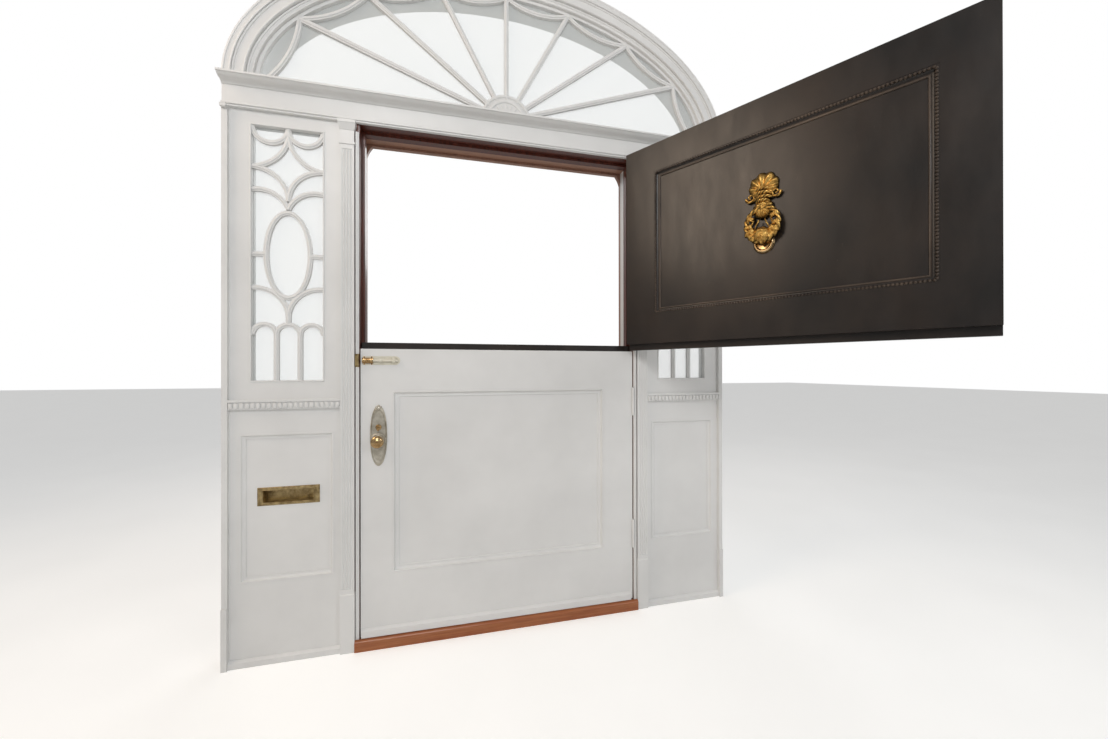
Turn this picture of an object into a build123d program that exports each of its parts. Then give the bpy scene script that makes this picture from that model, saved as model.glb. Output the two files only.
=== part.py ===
from build123d import *
import os

# A two-leaf stable door in its joined entrance frame, with tracery
# sidelights and a half-elliptical fanlight. Millimetres: x runs across the
# door, y from the room outwards, z up from the floor. The origin lies on
# the floor under the middle of the doorway, in the plane of the room face.

os.makedirs("parts", exist_ok=True)

# Door leaves
leaf_width = 1219.0
leaf_thickness = 50.0
leaf_gap = 3.0
leaf_bottom = 48.0
meeting_height = 1244.0
lap_height = 28.0
upper_top = 2172.0
latch_stile_width = 125.0
hinge_stile_width = 150.0
lower_bottom_rail = 255.0
lower_top_rail = 178.0
upper_bottom_rail = 134.0
upper_top_rail = 125.0
panel_thickness = 20.0
groove_depth = 10.0
groove_play = 0.4
tenon_length = 70.0
tenon_thickness = 14.0
tenon_shoulder = 20.0
moulding_width = 20.0
upper_open_angle = 121.2
strip_height = 35.0
strip_depth = 12.0

# Hinges
hinge_height = 135.0
hinge_plate = 2.4
hinge_leaf_depth = 34.0
knuckle_radius = 6.0
knuckle_gap = 0.4
knuckle_count = 5
pin_radius = 3.0
pin_play = 0.1
pin_setback = 7.0
hinge_from_foot = 316.0
hinge_below_meeting = 242.0
hinge_above_lap = 145.0
hinge_below_top = 142.0

# Frame
frame_half_width = 1100.0
frame_depth = 150.0
jamb_thickness = 20.0
jamb_depth = 110.0
post_outer = 684.0
outer_post_width = 28.0
stop_width = 12.0
stop_depth = 28.0
butt_gap = 0.3
threshold_height = 45.0
threshold_depth = 195.0
threshold_fall = 15.0
nosing_depth = 19.0
transom_height = 111.0
casing_thickness = 22.0
casing_width = 72.0
casing_reveal = 10.0
bracket_width = 24.0
bracket_height = 48.0
wall_screw_depths = (40.0, 110.0)
wall_screw_heights = (400.0, 1800.0)
wall_screw_radius = 4.0

# Trim on the room side
pilaster_width = 53.0
pilaster_depth = 15.0
flute_count = 4
flute_radius = 4.5
plinth_height = 240.0
plinth_depth = 20.0
capital_height = 36.0
capital_depth = 30.0
astragal_drop = 95.0
astragal_height = 10.0
astragal_swell = 3.0
bead_depth = 8.0
half_pilaster_width = 20.0
architrave_height = 22.0
architrave_depth = 20.0
frieze_depth = 12.0
cornice_height = 28.0
cornice_depth = 60.0

# Sidelights and the panels under them
sash_thickness = 40.0
sash_below_meeting = 205.0
sash_stile = 67.0
sash_lower_rail = 75.0
sash_upper_rail = 55.0
bar_width = 18.0
bar_front = 4.0
bar_depth = 13.5
glass_front = 18.0
glass_thickness = 4.0
glass_play = 0.2
glass_bite = 8.0
apron_stile = 26.0
apron_panel_bottom = 323.0
apron_top_rail = 134.0
apron_recess = 8.0
apron_moulding = 21.0
ogee_reach = 0.29
upper_stations = (0.06, 0.112, 0.159, 0.197, 0.249, 0.269, 0.288, 0.32)
lower_stations = (0.634, 0.666, 0.742)
dentil_height = 39.0
dentil_depth = 10.0
dentil_count = 21
dentil_radius = 6.5
dentil_length = 18.0
base_height = 30.0
base_depth = 12.0

# Letter plate in the left apron
letter_offset = 2.3
letter_centre_z = 654.5
letter_width = 223.0
letter_height = 72.0
slot_width = 179.0
slot_height = 46.0
letter_wall = 1.6
letter_plate_depth = 4.0
letter_flap_thickness = 2.0
flap_play = 0.4

# Fanlight
fan_glass_height = 572.0
fan_ring_width = 100.0
sash_ring_width = 14.0
fan_ray_angles = (28.6, 52.5, 70.8)
fan_ray_width = 20.0
fan_hub_radius = 114.0
swag_width = 18.0
swag_sag = 34.0
fan_front = 10.0
fan_play = 0.4

# Lock, knob and thumb-turn
backset = 70.0
knob_height = 860.0
turn_above_knob = 56.0
plate_above_knob = 21.0
plate_half_width = 33.0
plate_half_height = 128.0
plate_thickness = 3.0
plate_rim = 2.0
rim_width = 5.3
rose_radius = 30.0
rose_depth = 6.0
neck_radius = 11.0
knob_radius = 25.5
knob_reach = 55.0
spindle_radius = 5.0
turn_spindle_radius = 4.0
spindle_play = 0.4
case_thickness = 18.0
case_below_knob = 60.0
case_above_turn = 44.0
case_behind_spindle = 23.5
face_plate_width = 24.0
face_plate_thickness = 2.0
bolt_height = 24.0
bolt_thickness = 12.0
bolt_play = 0.4
dead_throw = 15.0
strike_play = 4.0

# Surface bolt on the lower leaf and flush bolt in the upper leaf
surface_bolt_below_meeting = 49.0
surface_plate_inset = 8.5
surface_plate_length = 147.0
surface_plate_width = 36.0
guide_length = 41.0
surface_rod_radius = 5.0
surface_rod_reach = 9.5
surface_throw = 20.0
keeper_width = 14.0
keeper_height = 54.0
flush_rod_radius = 5.0
flush_rod_length = 112.0
flush_throw = 22.0
flush_depth = 13.0
flush_slot_width = 9.0

# Knocker on the outer face of the upper leaf
knocker_above_middle = 34.0
knocker_crest = 128.0
knocker_half_width = 52.0
knocker_boss_depth = 34.0
ring_half_width = 56.0
ring_half_height = 74.0
ring_bar_radius = 8.0
striker_radius = 22.0
striker_depth = 14.0

half_leaf = leaf_width / 2
jamb_face = half_leaf + leaf_gap
jamb_back = jamb_face + jamb_thickness
mid_depth = leaf_thickness / 2
head_height = upper_top + leaf_gap
transom_top = head_height + transom_height
fan_glass_half = frame_half_width - fan_ring_width
lower_panel = (leaf_bottom + lower_bottom_rail, meeting_height - lower_top_rail)
lip_bottom = meeting_height + leaf_gap
upper_bottom = meeting_height + lap_height + leaf_gap
upper_panel = (upper_bottom + upper_bottom_rail, upper_top - upper_top_rail)
panel_left = -half_leaf + latch_stile_width
panel_right = half_leaf - hinge_stile_width
panel_faces = (mid_depth - panel_thickness / 2, mid_depth + panel_thickness / 2)
lower_hinge_heights = (leaf_bottom + hinge_from_foot, meeting_height - hinge_below_meeting)
upper_hinge_heights = (upper_bottom + hinge_above_lap, upper_top - hinge_below_top)
outer_post_inner = frame_half_width - outer_post_width
light_centre = (post_outer + outer_post_inner) / 2
light_width = outer_post_inner - post_outer - 2 * sash_stile
sash_bottom = meeting_height - sash_below_meeting
light_bottom = sash_bottom + sash_lower_rail
light_top = head_height - sash_upper_rail
apron_panel_width = outer_post_inner - post_outer - 2 * apron_stile
apron_panel_top = sash_bottom - apron_top_rail
letter_centre_x = -light_centre + letter_offset
lock_x = -half_leaf + backset
turn_height = knob_height + turn_above_knob
plate_height = knob_height + plate_above_knob
case_bottom = knob_height - case_below_knob
case_top = turn_height + case_above_turn
case_back = lock_x + case_behind_spindle
strike_depth = dead_throw + strike_play
surface_bolt_height = meeting_height - surface_bolt_below_meeting
surface_plate_left = -half_leaf + surface_plate_inset
surface_plate_right = surface_plate_left + surface_plate_length
knocker_pivot_height = (upper_panel[0] + upper_panel[1]) / 2 + knocker_above_middle
pin_x = half_leaf + leaf_gap / 2
hinge_axis = Axis((pin_x, -pin_setback, 0), (0, 0, 1))
sides = (("left", -1), ("right", 1))


def slab(x, y, z, mode=Mode.ADD):
    """Add or cut a straight board between three pairs of faces."""
    with Locations(((x[0] + x[1]) / 2, (y[0] + y[1]) / 2, (z[0] + z[1]) / 2)):
        Box(abs(x[1] - x[0]), abs(y[1] - y[0]), abs(z[1] - z[0]), mode=mode)


def rod(start, end, radius, mode=Mode.ADD):
    """Add or cut a round rod from one point to another."""
    along = Vector(*end) - Vector(*start)
    with Locations(Plane(origin=start, z_dir=along)):
        Cylinder(radius, along.length, align=(Align.CENTER, Align.CENTER, Align.MIN), mode=mode)


def moulding(x, z, face, side, width, rise):
    """Sweep an ogee moulding round the inside of a rectangular opening."""
    middle = (x[0] + x[1]) / 2
    with BuildLine() as path:
        Polyline((middle, face, z[0]), (x[1], face, z[0]), (x[1], face, z[1]),
                 (x[0], face, z[1]), (x[0], face, z[0]), (middle, face, z[0]))
    start = Plane(origin=(middle, face, z[0]), x_dir=(0, side, 0), z_dir=(side, 0, 0))
    with BuildSketch(start) as section:
        with BuildLine():
            Polyline((rise * 0.3, width), (0, width), (0, 0), (rise, 0), (rise, width * 0.3))
            ThreePointArc((rise, width * 0.3), (rise * 0.45, width * 0.5), (rise * 0.3, width))
        make_face()
    sweep(section.sketch, path=path.line, transition=Transition.RIGHT)


def save(piece, name):
    """Label a finished piece and write it to its own file."""
    piece.label = name
    export_step(piece, f"parts/{name}.step")


def save_upper(piece, name):
    """Write a piece of the upper leaf in its rest place, swung open."""
    save(piece.rotate(hinge_axis, upper_open_angle), name)


# Threshold: a hardwood sill that falls to the weather, and its rounded nosing
with BuildPart() as threshold:
    with BuildSketch(Plane.YZ.offset(-jamb_face)) as sill_section:
        with BuildLine():
            Polyline((-nosing_depth / 4, 0), (threshold_depth, 0),
                     (threshold_depth, threshold_height - threshold_fall),
                     (leaf_thickness + stop_depth, threshold_height),
                     (-nosing_depth / 4, threshold_height), close=True)
        make_face()
    extrude(amount=2 * jamb_face)
save(threshold.part, "threshold")

with BuildPart() as threshold_nosing:
    nosing_y = (-nosing_depth * 1.25, -nosing_depth / 4)
    slab((-jamb_back + 3, jamb_back - 3), nosing_y, (0, threshold_height))
    front_edges = threshold_nosing.edges().filter_by(Axis.X).group_by(Axis.Y)[0]
    fillet(front_edges.sort_by(Axis.Z)[-1], nosing_depth * 0.6)
save(threshold_nosing.part, "threshold_nosing")

# Posts between the doorway and the sidelights, rebated for the jamb boards,
# and the outer posts that the whole frame is screwed to the wall through
for side_name, side in sides:
    with BuildPart() as post:
        slab((side * jamb_face, side * post_outer), (jamb_depth, frame_depth), (0, head_height))
        slab((side * jamb_back, side * post_outer), (0, jamb_depth), (0, head_height))
    save(post.part, f"post_{side_name}")

with BuildPart() as outer_posts:
    for side_name, side in sides:
        inner, outer = side * outer_post_inner, side * frame_half_width
        slab((inner, outer), (0, frame_depth), (0, head_height))
        trim_inner = side * (frame_half_width - half_pilaster_width)
        slab((trim_inner, outer), (-pilaster_depth, 0), (0, head_height))
        slab((trim_inner, outer), (-plinth_depth, 0), (0, plinth_height))
        slab((trim_inner, outer), (-capital_depth, 0), (head_height - capital_height / 3, head_height))
        for screw_y in wall_screw_depths:
            for screw_z in wall_screw_heights:
                rod((inner - side, screw_y, screw_z), (outer + side, screw_y, screw_z),
                    wall_screw_radius, Mode.SUBTRACT)
save(outer_posts.part, "outer_posts")

with BuildPart() as transom:
    slab((-frame_half_width, frame_half_width), (0, frame_depth), (head_height + jamb_thickness, transom_top))
    for side_name, side in sides:
        slab((side * jamb_back, side * frame_half_width), (0, frame_depth),
             (head_height, head_height + jamb_thickness))
    slab((-jamb_back, jamb_back), (jamb_depth, frame_depth), (head_height, head_height + jamb_thickness))
save(transom.part, "transom")

# Jamb boards and head board. The left one has a pocket behind the strike
# plate, the right one has gains for the hinge plates.
latch_z = (knob_height - bolt_height / 2, knob_height + bolt_height / 2)
dead_z = (turn_height - bolt_height / 2, turn_height + bolt_height / 2)
bolt_y = (mid_depth - bolt_thickness / 2, mid_depth + bolt_thickness / 2)
strike_y = (bolt_y[0] - 8, bolt_y[1] + 8)
strike_z = (latch_z[0] - 14, dead_z[1] + 14)


def bolt_hole(x, z, mode=Mode.SUBTRACT, play=1.2):
    """Cut a clearance slot for a lock bolt."""
    slab(x, (bolt_y[0] - play, bolt_y[1] + play), (z[0] - play, z[1] + play), mode)


with BuildPart() as jamb_left:
    slab((-jamb_back, -jamb_face), (0, jamb_depth), (0, head_height))
    slab((-jamb_face - face_plate_thickness, -jamb_face), strike_y, strike_z, Mode.SUBTRACT)
    for hole_z in (latch_z, dead_z):
        bolt_hole((-jamb_face - strike_depth, -jamb_face), hole_z)
save(jamb_left.part, "jamb_left")

with BuildPart() as strike_plate:
    slab((-jamb_face - face_plate_thickness, -jamb_face), strike_y, strike_z)
    for hole_z in (latch_z, dead_z):
        bolt_hole((-jamb_face - strike_depth, -jamb_face), hole_z)
save(strike_plate.part, "strike_plate")

all_hinge_heights = lower_hinge_heights + upper_hinge_heights
with BuildPart() as jamb_right:
    slab((jamb_face, jamb_back), (0, jamb_depth), (0, head_height))
    for hinge_z in all_hinge_heights:
        slab((jamb_face, jamb_face + hinge_plate), (0, hinge_leaf_depth),
             (hinge_z - hinge_height / 2, hinge_z + hinge_height / 2), Mode.SUBTRACT)
save(jamb_right.part, "jamb_right")

with BuildPart() as jamb_head:
    slab((-jamb_back, jamb_back), (0, jamb_depth), (head_height, head_height + jamb_thickness))
save(jamb_head.part, "jamb_head")

stop_y = (leaf_thickness + 1.5, leaf_thickness + 1.5 + stop_depth)
with BuildPart() as door_stops:
    for side_name, side in sides:
        slab((side * (jamb_face - stop_width), side * jamb_face), stop_y,
             (threshold_height, head_height - stop_width - butt_gap))
    slab((-jamb_face, jamb_face), stop_y, (head_height - stop_width, head_height))
save(door_stops.part, "door_stops")

# Weather-side casing with a small quarter bracket in each top corner
with BuildPart() as exterior_casing:
    casing_y = (frame_depth, frame_depth + casing_thickness)
    casing_top = head_height - casing_reveal
    for side_name, side in sides:
        slab((side * jamb_face, side * (jamb_face + casing_width)), casing_y, (0, casing_top - butt_gap))
    slab((-jamb_face - casing_width, jamb_face + casing_width), casing_y,
         (casing_top, casing_top + casing_width))
    for side_name, side in sides:
        corner = Plane(origin=(side * jamb_face, frame_depth, casing_top), x_dir=(-side, 0, 0),
                       z_dir=(0, side, 0))
        drop = -bracket_height
        with BuildSketch(corner) as bracket:
            with BuildLine():
                Polyline((bracket_width, 0), (0, 0), (0, drop))
                ThreePointArc((0, drop), (bracket_width * 0.45, drop * 0.42), (bracket_width, 0))
            make_face()
        extrude(bracket.sketch, amount=side * casing_thickness)
save(exterior_casing.part, "exterior_casing")

# Fluted pilasters with plinth, astragal and flared capital
pilaster_inner = post_outer - pilaster_width
flute_low = plinth_height + 18
flute_high = head_height - astragal_drop - 18
for side_name, side in sides:
    with BuildPart() as pilaster:
        slab((side * pilaster_inner, side * post_outer), (-pilaster_depth, 0), (0, head_height))
        slab((side * (pilaster_inner - 1.5), side * post_outer), (-plinth_depth, 0),
             (0, plinth_height))
        plinth_cap = pilaster.edges().filter_by(Axis.X).filter_by_position(
            Axis.Z, plinth_height - 1, plinth_height + 1).sort_by(Axis.Y)[0]
        chamfer(plinth_cap, plinth_depth - pilaster_depth - 1)
        neck_z = head_height - astragal_drop
        slab((side * (pilaster_inner - astragal_swell), side * (post_outer + astragal_swell)),
             (-pilaster_depth - astragal_swell - 1, 0),
             (neck_z, neck_z + astragal_height))
        flare = capital_depth - pilaster_depth
        with BuildSketch(Plane.XY.offset(head_height - capital_height)) as neck_section:
            with Locations((side * (pilaster_inner + post_outer) / 2, -pilaster_depth / 2)):
                Rectangle(pilaster_width + 4, pilaster_depth + 4)
        with BuildSketch(Plane.XY.offset(head_height - capital_height / 3)) as cap_section:
            with Locations((side * (pilaster_inner + post_outer) / 2, -pilaster_depth / 2 - flare / 4)):
                Rectangle(pilaster_width + flare, capital_depth + flare / 4)
        loft(sections=[neck_section.sketch, cap_section.sketch])
        slab((side * (pilaster_inner - flare / 2), side * (post_outer + flare / 2)),
             (-capital_depth, 0), (head_height - capital_height / 3, head_height))
        slab((side * (pilaster_inner - 40), side * (post_outer + 40)), (0, 40),
             (0, head_height), Mode.SUBTRACT)
        for index in range(flute_count):
            flute_x = side * (pilaster_inner + pilaster_width * (index + 1) / (flute_count + 1))
            rod((flute_x, -pilaster_depth - 1, flute_low), (flute_x, -pilaster_depth - 1, flute_high),
                flute_radius, Mode.SUBTRACT)
    save(pilaster.part, f"pilaster_{side_name}")

# Bead round the doorway, notched for the hinge knuckles and the bolt keeper
bead_inner = jamb_face + 1.5
bead_outer = pilaster_inner - astragal_swell - 1
keeper_z = (surface_bolt_height - keeper_height / 2, surface_bolt_height + keeper_height / 2)
with BuildPart() as bead_trim:
    bead_top = head_height - capital_height - 1
    for side_name, side in sides:
        slab((side * bead_inner, side * bead_outer), (-bead_depth, 0), (threshold_height, bead_top))
        slab((side * (bead_inner + 6), side * (bead_outer - 2)), (-bead_depth - 3, -bead_depth),
             (plinth_height, bead_top))
    for hinge_z in all_hinge_heights:
        slab((bead_inner - 1, pin_x + knuckle_radius + 1.5), (-30, 1),
             (hinge_z - hinge_height / 2 - 1, hinge_z + hinge_height / 2 + 1), Mode.SUBTRACT)
    slab((-bead_outer - 1, -bead_inner + 1), (-30, 1), keeper_z, Mode.SUBTRACT)
save(bead_trim.part, "bead_trim")

# Frieze with its lower architrave moulding, and the cyma cornice above it
with BuildPart() as frieze_board:
    with BuildSketch(Plane.YZ.offset(-frame_half_width)) as frieze_section:
        low, high = head_height, transom_top - cornice_height
        with BuildLine():
            Polyline((-frieze_depth, low + architrave_height), (-frieze_depth, high), (0, high),
                     (0, low), (-architrave_depth + 5, low), (-architrave_depth + 5, low + 7),
                     (-architrave_depth, low + 7), (-architrave_depth, low + 13))
            ThreePointArc((-architrave_depth, low + 13), (-frieze_depth - 2.5, low + 15),
                          (-frieze_depth, low + architrave_height))
        make_face()
    extrude(amount=2 * frame_half_width)
save(frieze_board.part, "frieze_board")

with BuildPart() as cornice:
    with BuildSketch(Plane.YZ.offset(-frame_half_width)) as cornice_section:
        low, high = transom_top - cornice_height, transom_top
        with BuildLine():
            Polyline((-frieze_depth - 4, low), (0, low), (0, high), (-cornice_depth, high),
                     (-cornice_depth, high - 7), (-cornice_depth + 5, high - 8))
            ThreePointArc((-cornice_depth + 5, high - 8), (-cornice_depth + 14, high - 15),
                          (-cornice_depth + 24, high - 18))
            ThreePointArc((-cornice_depth + 24, high - 18), (-frieze_depth - 12, high - 20),
                          (-frieze_depth - 4, low))
        make_face()
    extrude(amount=2 * frame_half_width)
save(cornice.part, "cornice")

# Sidelight sashes: a framed opening filled with curved tracery bars
half_light = light_width / 2
light_height = light_top - light_bottom
post_line = half_light / 3
oval_drop = light_height * 0.502
oval_half = (half_light * 0.622, light_height * 0.169)
arch_spring = -light_height * 0.82
arch_crown = arch_spring + post_line


def arc_bar(start, middle, end, width):
    """Make the flat face of a curved bar whose centre line is an arc."""
    centre_line = ThreePointArc(start, middle, end, mode=Mode.PRIVATE)
    edges = []
    for reach in (width / 2, -width / 2):
        across = [(centre_line % place).rotate(Axis.Z, 90) * reach for place in (0.0, 0.5, 1.0)]
        edges.append([centre_line @ place + move for place, move in zip((0.0, 0.5, 1.0), across)])
    with BuildSketch() as face:
        with BuildLine():
            ThreePointArc(*edges[0])
            Line(edges[0][2], edges[1][2])
            ThreePointArc(*reversed(edges[1]))
            Line(edges[1][0], edges[0][0])
        make_face()
    return face.sketch


def tracery_arcs():
    """List the curved centre lines, from the top of the light down."""
    arcs = [((-post_line, arch_spring), (0, arch_crown), (post_line, arch_spring))]
    falls = [-light_height * station for station in upper_stations]
    feet = [-light_height * station for station in lower_stations]
    for hand in (-1, 1):
        edge = hand * half_light
        bow = edge * ogee_reach
        arcs += [
            ((edge, 0), (edge / 2, falls[0]), (0, 0)),
            ((0, 0), (bow, falls[1]), (edge, falls[2])),
            ((edge, falls[2]), (bow, falls[3]), (0, falls[6])),
            ((edge, falls[4]), (bow, falls[5]), (0, falls[7])),
            ((edge, feet[0]), (bow, feet[1]), (0, feet[2])),
            ((edge, arch_spring), (hand * post_line * 2, arch_crown), (hand * post_line, arch_spring)),
        ]
    return arcs


tracery_faces = [arc_bar(*arc, bar_width) for arc in tracery_arcs()]
for side_name, side in sides:
    with BuildPart() as sash:
        slab((side * post_outer, side * outer_post_inner), (0, sash_thickness), (sash_bottom, head_height))
        light_x = (side * light_centre - half_light, side * light_centre + half_light)
        slab(light_x, (-1, sash_thickness + 1), (light_bottom, light_top), Mode.SUBTRACT)
        slab((light_x[0] - glass_bite, light_x[1] + glass_bite),
             (glass_front - glass_play, glass_front + glass_thickness + glass_play),
             (light_bottom - glass_bite, light_top + glass_bite), Mode.SUBTRACT)
        bars_plane = Plane(origin=(side * light_centre, bar_front, light_top), x_dir=(1, 0, 0),
                           z_dir=(0, -1, 0))
        with BuildSketch(bars_plane) as bars:
            add(tracery_faces)
            with Locations((0, -oval_drop)):
                Ellipse(oval_half[0] + bar_width / 2, oval_half[1] + bar_width / 2)
                Ellipse(oval_half[0] - bar_width / 2, oval_half[1] - bar_width / 2, mode=Mode.SUBTRACT)
            for hand in (-1, 1):
                with Locations((hand * (half_light + oval_half[0]) / 2, -oval_drop)):
                    Rectangle(half_light - oval_half[0], bar_width)
                with Locations((hand * post_line, (arch_spring - light_height) / 2)):
                    Rectangle(bar_width, light_height + arch_spring)
            stem_top = -light_height * lower_stations[2]
            with Locations((0, (stem_top + arch_crown) / 2)):
                Rectangle(bar_width, stem_top - arch_crown + bar_width)
            with Locations((0, -light_height / 2)):
                Rectangle(light_width, light_height, mode=Mode.INTERSECT)
        extrude(bars.sketch, amount=-bar_depth)
    save(sash.part, f"sidelight_{side_name}")

with BuildPart() as sidelight_panes:
    for side_name, side in sides:
        pane_half = half_light + glass_bite - glass_play * 2
        slab((side * light_centre - pane_half, side * light_centre + pane_half),
             (glass_front, glass_front + glass_thickness),
             (light_bottom - glass_bite + glass_play, light_top + glass_bite - glass_play * 2))
save(sidelight_panes.part, "sidelight_panes")

# Aprons under the sidelights, each with a moulded panel. The left one has
# the tunnel of the letter slot.
slot_x = (letter_centre_x - slot_width / 2, letter_centre_x + slot_width / 2)
slot_z = (letter_centre_z - slot_height / 2, letter_centre_z + slot_height / 2)
tunnel_x = (slot_x[0] - letter_wall, slot_x[1] + letter_wall)
tunnel_z = (slot_z[0] - letter_wall, slot_z[1] + letter_wall)
half_panel = apron_panel_width / 2
for side_name, side in sides:
    panel_x = (side * light_centre - half_panel, side * light_centre + half_panel)
    with BuildPart() as apron:
        slab((side * post_outer, side * outer_post_inner), (0, sash_thickness), (0, sash_bottom))
        slab(panel_x, (-1, apron_recess), (apron_panel_bottom, apron_panel_top), Mode.SUBTRACT)
        moulding(panel_x, (apron_panel_bottom, apron_panel_top), apron_recess, -1,
                 apron_moulding, apron_recess + 3)
        slab((side * post_outer, side * (frame_half_width - half_pilaster_width)), (-base_depth, 0),
             (0, base_height))
        base_edge = apron.edges().filter_by(Axis.X).filter_by_position(
            Axis.Z, base_height - 0.1, base_height + 0.1).sort_by(Axis.Y)[0]
        chamfer(base_edge, base_depth * 0.7)
        if side < 0:
            slab(tunnel_x, (-1, sash_thickness + 1), tunnel_z, Mode.SUBTRACT)
    save(apron.part, f"apron_{side_name}")

with BuildPart() as dentil_rails:
    for side_name, side in sides:
        rail_x = (side * post_outer, side * (frame_half_width - half_pilaster_width))
        rail_low = sash_bottom - dentil_height
        slab(rail_x, (-dentil_depth, 0), (rail_low, sash_bottom))
        slab(rail_x, (-dentil_depth - 5, 0), (sash_bottom - 9, sash_bottom))
        pitch = (rail_x[1] - rail_x[0]) / dentil_count
        for index in range(dentil_count):
            bead_x = rail_x[0] + pitch * (index + 0.5)
            rod((bead_x, -dentil_depth, rail_low + 7), (bead_x, -dentil_depth, rail_low + 7 + dentil_length),
                dentil_radius)
save(dentil_rails.part, "dentil_rails")

# Letter plate, its brass tunnel with the outer plate, and the outer flap
half_letter = letter_width / 2
letter_x = (letter_centre_x - half_letter, letter_centre_x + half_letter)
letter_z = (letter_centre_z - letter_height / 2, letter_centre_z + letter_height / 2)
with BuildPart() as letter_plate:
    slab(letter_x, (apron_recess - letter_plate_depth, apron_recess), letter_z)
    plate_front = letter_plate.faces().sort_by(Axis.Y)[0]
    chamfer(plate_front.edges(), letter_plate_depth * 0.6)
    slab(tunnel_x, (-10, sash_thickness), tunnel_z, Mode.SUBTRACT)
save(letter_plate.part, "letter_plate")

with BuildPart() as letter_tunnel:
    slab(tunnel_x, (apron_recess - letter_plate_depth, sash_thickness), tunnel_z)
    slab(letter_x, (sash_thickness, sash_thickness + letter_plate_depth), letter_z)
    slab(slot_x, (-1, sash_thickness + 10), slot_z, Mode.SUBTRACT)
    lug_y = sash_thickness + letter_plate_depth
    flap_pin_z = slot_z[1] + 6
    for hand in (-1, 1):
        lug_x = letter_centre_x + hand * (slot_width / 2 + 8)
        slab((lug_x - 4, lug_x + 4), (lug_y, lug_y + 7), (flap_pin_z - 5, flap_pin_z + 5))
save(letter_tunnel.part, "letter_tunnel")

with BuildPart() as letter_flap:
    flap_half = slot_width / 2 + 8 - 4 - flap_play
    flap_y = lug_y + flap_play
    flap_x = (letter_centre_x - flap_half, letter_centre_x + flap_half)
    rod((flap_x[0], flap_y + 3, flap_pin_z), (flap_x[1], flap_y + 3, flap_pin_z), 3)
    slab(flap_x, (flap_y, flap_y + letter_flap_thickness), (slot_z[0] - 5, flap_pin_z))
save(letter_flap.part, "letter_flap")

# Fanlight: the structural arch, its room-side casing, the sash with its hub,
# rays and swags, and the pane behind them
fan_start = transom_top


def half_ellipse(half_width, height, mode=Mode.ADD):
    """Sketch the upper half of an ellipse standing on the transom."""
    with BuildLine() as outline:
        EllipticalCenterArc((0, 0), half_width, height, start_angle=0, arc_size=180)
        Line((-half_width, 0), (half_width, 0))
    make_face(outline.edges(), mode=mode)


def arch_ring(outer, ring, near, far):
    """Add a half-elliptical ring between two depths."""
    with BuildSketch(Plane(origin=(0, near, fan_start), x_dir=(1, 0, 0), z_dir=(0, -1, 0))) as section:
        half_ellipse(outer[0], outer[1])
        half_ellipse(outer[0] - ring, outer[1] - ring, Mode.SUBTRACT)
    extrude(section.sketch, amount=near - far)


arch_outer = (fan_glass_half + fan_ring_width, fan_glass_height + fan_ring_width)
with BuildPart() as fan_arch:
    arch_ring(arch_outer, fan_ring_width, 0, frame_depth)
save(fan_arch.part, "fan_arch")

with BuildPart() as fan_casing:
    arch_ring(arch_outer, 30, -18, 0)
    arch_ring((arch_outer[0] - 30, arch_outer[1] - 30), 45, -11, 0)
save(fan_casing.part, "fan_casing")

sash_outer = (fan_glass_half - fan_play, fan_glass_height - fan_play)
sash_inner = (sash_outer[0] - sash_ring_width, sash_outer[1] - sash_ring_width)


def rim_point(angle_from_up):
    """Find where a ray from the springing centre meets the sash ring."""
    heading = Vector(0, 1).rotate(Axis.Z, -angle_from_up)
    reach = 1 / ((heading.X / sash_inner[0]) ** 2 + (heading.Y / sash_inner[1]) ** 2) ** 0.5
    return heading * reach


def rim_points(angles):
    """Find the ray tips at the given angles from upright, left to right."""
    spread = [-a for a in reversed(angles)] + [0] + list(angles)
    return [rim_point(a) for a in spread]


def swag_face(first, second):
    """Make the face of the swag that hangs between two ray tips."""
    chord_middle = (first + second) / 2
    bow = chord_middle - chord_middle.normalized() * swag_sag
    return arc_bar(tuple(first), tuple(bow), tuple(second), swag_width)


swag_ends = rim_points(fan_ray_angles + (90,))
swag_faces = [swag_face(first, second) for first, second in zip(swag_ends, swag_ends[1:])]


def degrees_from_up(tip):
    """Give the turn that lays an upright bar along the way to a ray tip."""
    return -Vector(0, 1).get_signed_angle(tip, Vector(0, 0, -1))


fan_plane = Plane(origin=(0, fan_front, fan_start), x_dir=(1, 0, 0), z_dir=(0, -1, 0))
with BuildPart() as fan_sash:
    arch_ring(sash_outer, sash_ring_width, fan_front, fan_front + bar_depth + 20)
    slab((-sash_inner[0], sash_inner[0]), (fan_front, fan_front + bar_depth + 20),
         (fan_start, fan_start + sash_ring_width))
    with BuildSketch(fan_plane) as bars:
        for tip in rim_points(fan_ray_angles):
            with Locations(Location((tip.X / 2, tip.Y / 2, 0), (0, 0, degrees_from_up(tip)))):
                Rectangle(fan_ray_width, tip.length)
        add(swag_faces)
        half_ellipse(sash_outer[0] - sash_ring_width / 2, sash_outer[1] - sash_ring_width / 2,
                     Mode.INTERSECT)
    extrude(bars.sketch, amount=-bar_depth)
    with BuildSketch(fan_plane) as hub:
        half_ellipse(fan_hub_radius, fan_hub_radius)
    extrude(hub.sketch, amount=-bar_depth)
    with BuildSketch(fan_plane) as hub_boss:
        half_ellipse(fan_hub_radius * 0.8, fan_hub_radius * 0.8)
    extrude(hub_boss.sketch, amount=6)
save(fan_sash.part, "fan_sash")

with BuildPart() as fan_pane:
    pane_y = fan_front + bar_depth
    with BuildSketch(Plane(origin=(0, pane_y, fan_start), x_dir=(1, 0, 0), z_dir=(0, -1, 0))) as pane:
        half_ellipse(sash_inner[0] - 1, sash_inner[1] - 1)
        with Locations((0, sash_ring_width / 2)):
            Rectangle(2 * frame_half_width, sash_ring_width, mode=Mode.SUBTRACT)
    extrude(pane.sketch, amount=-glass_thickness)
save(fan_pane.part, "fan_pane")


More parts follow.
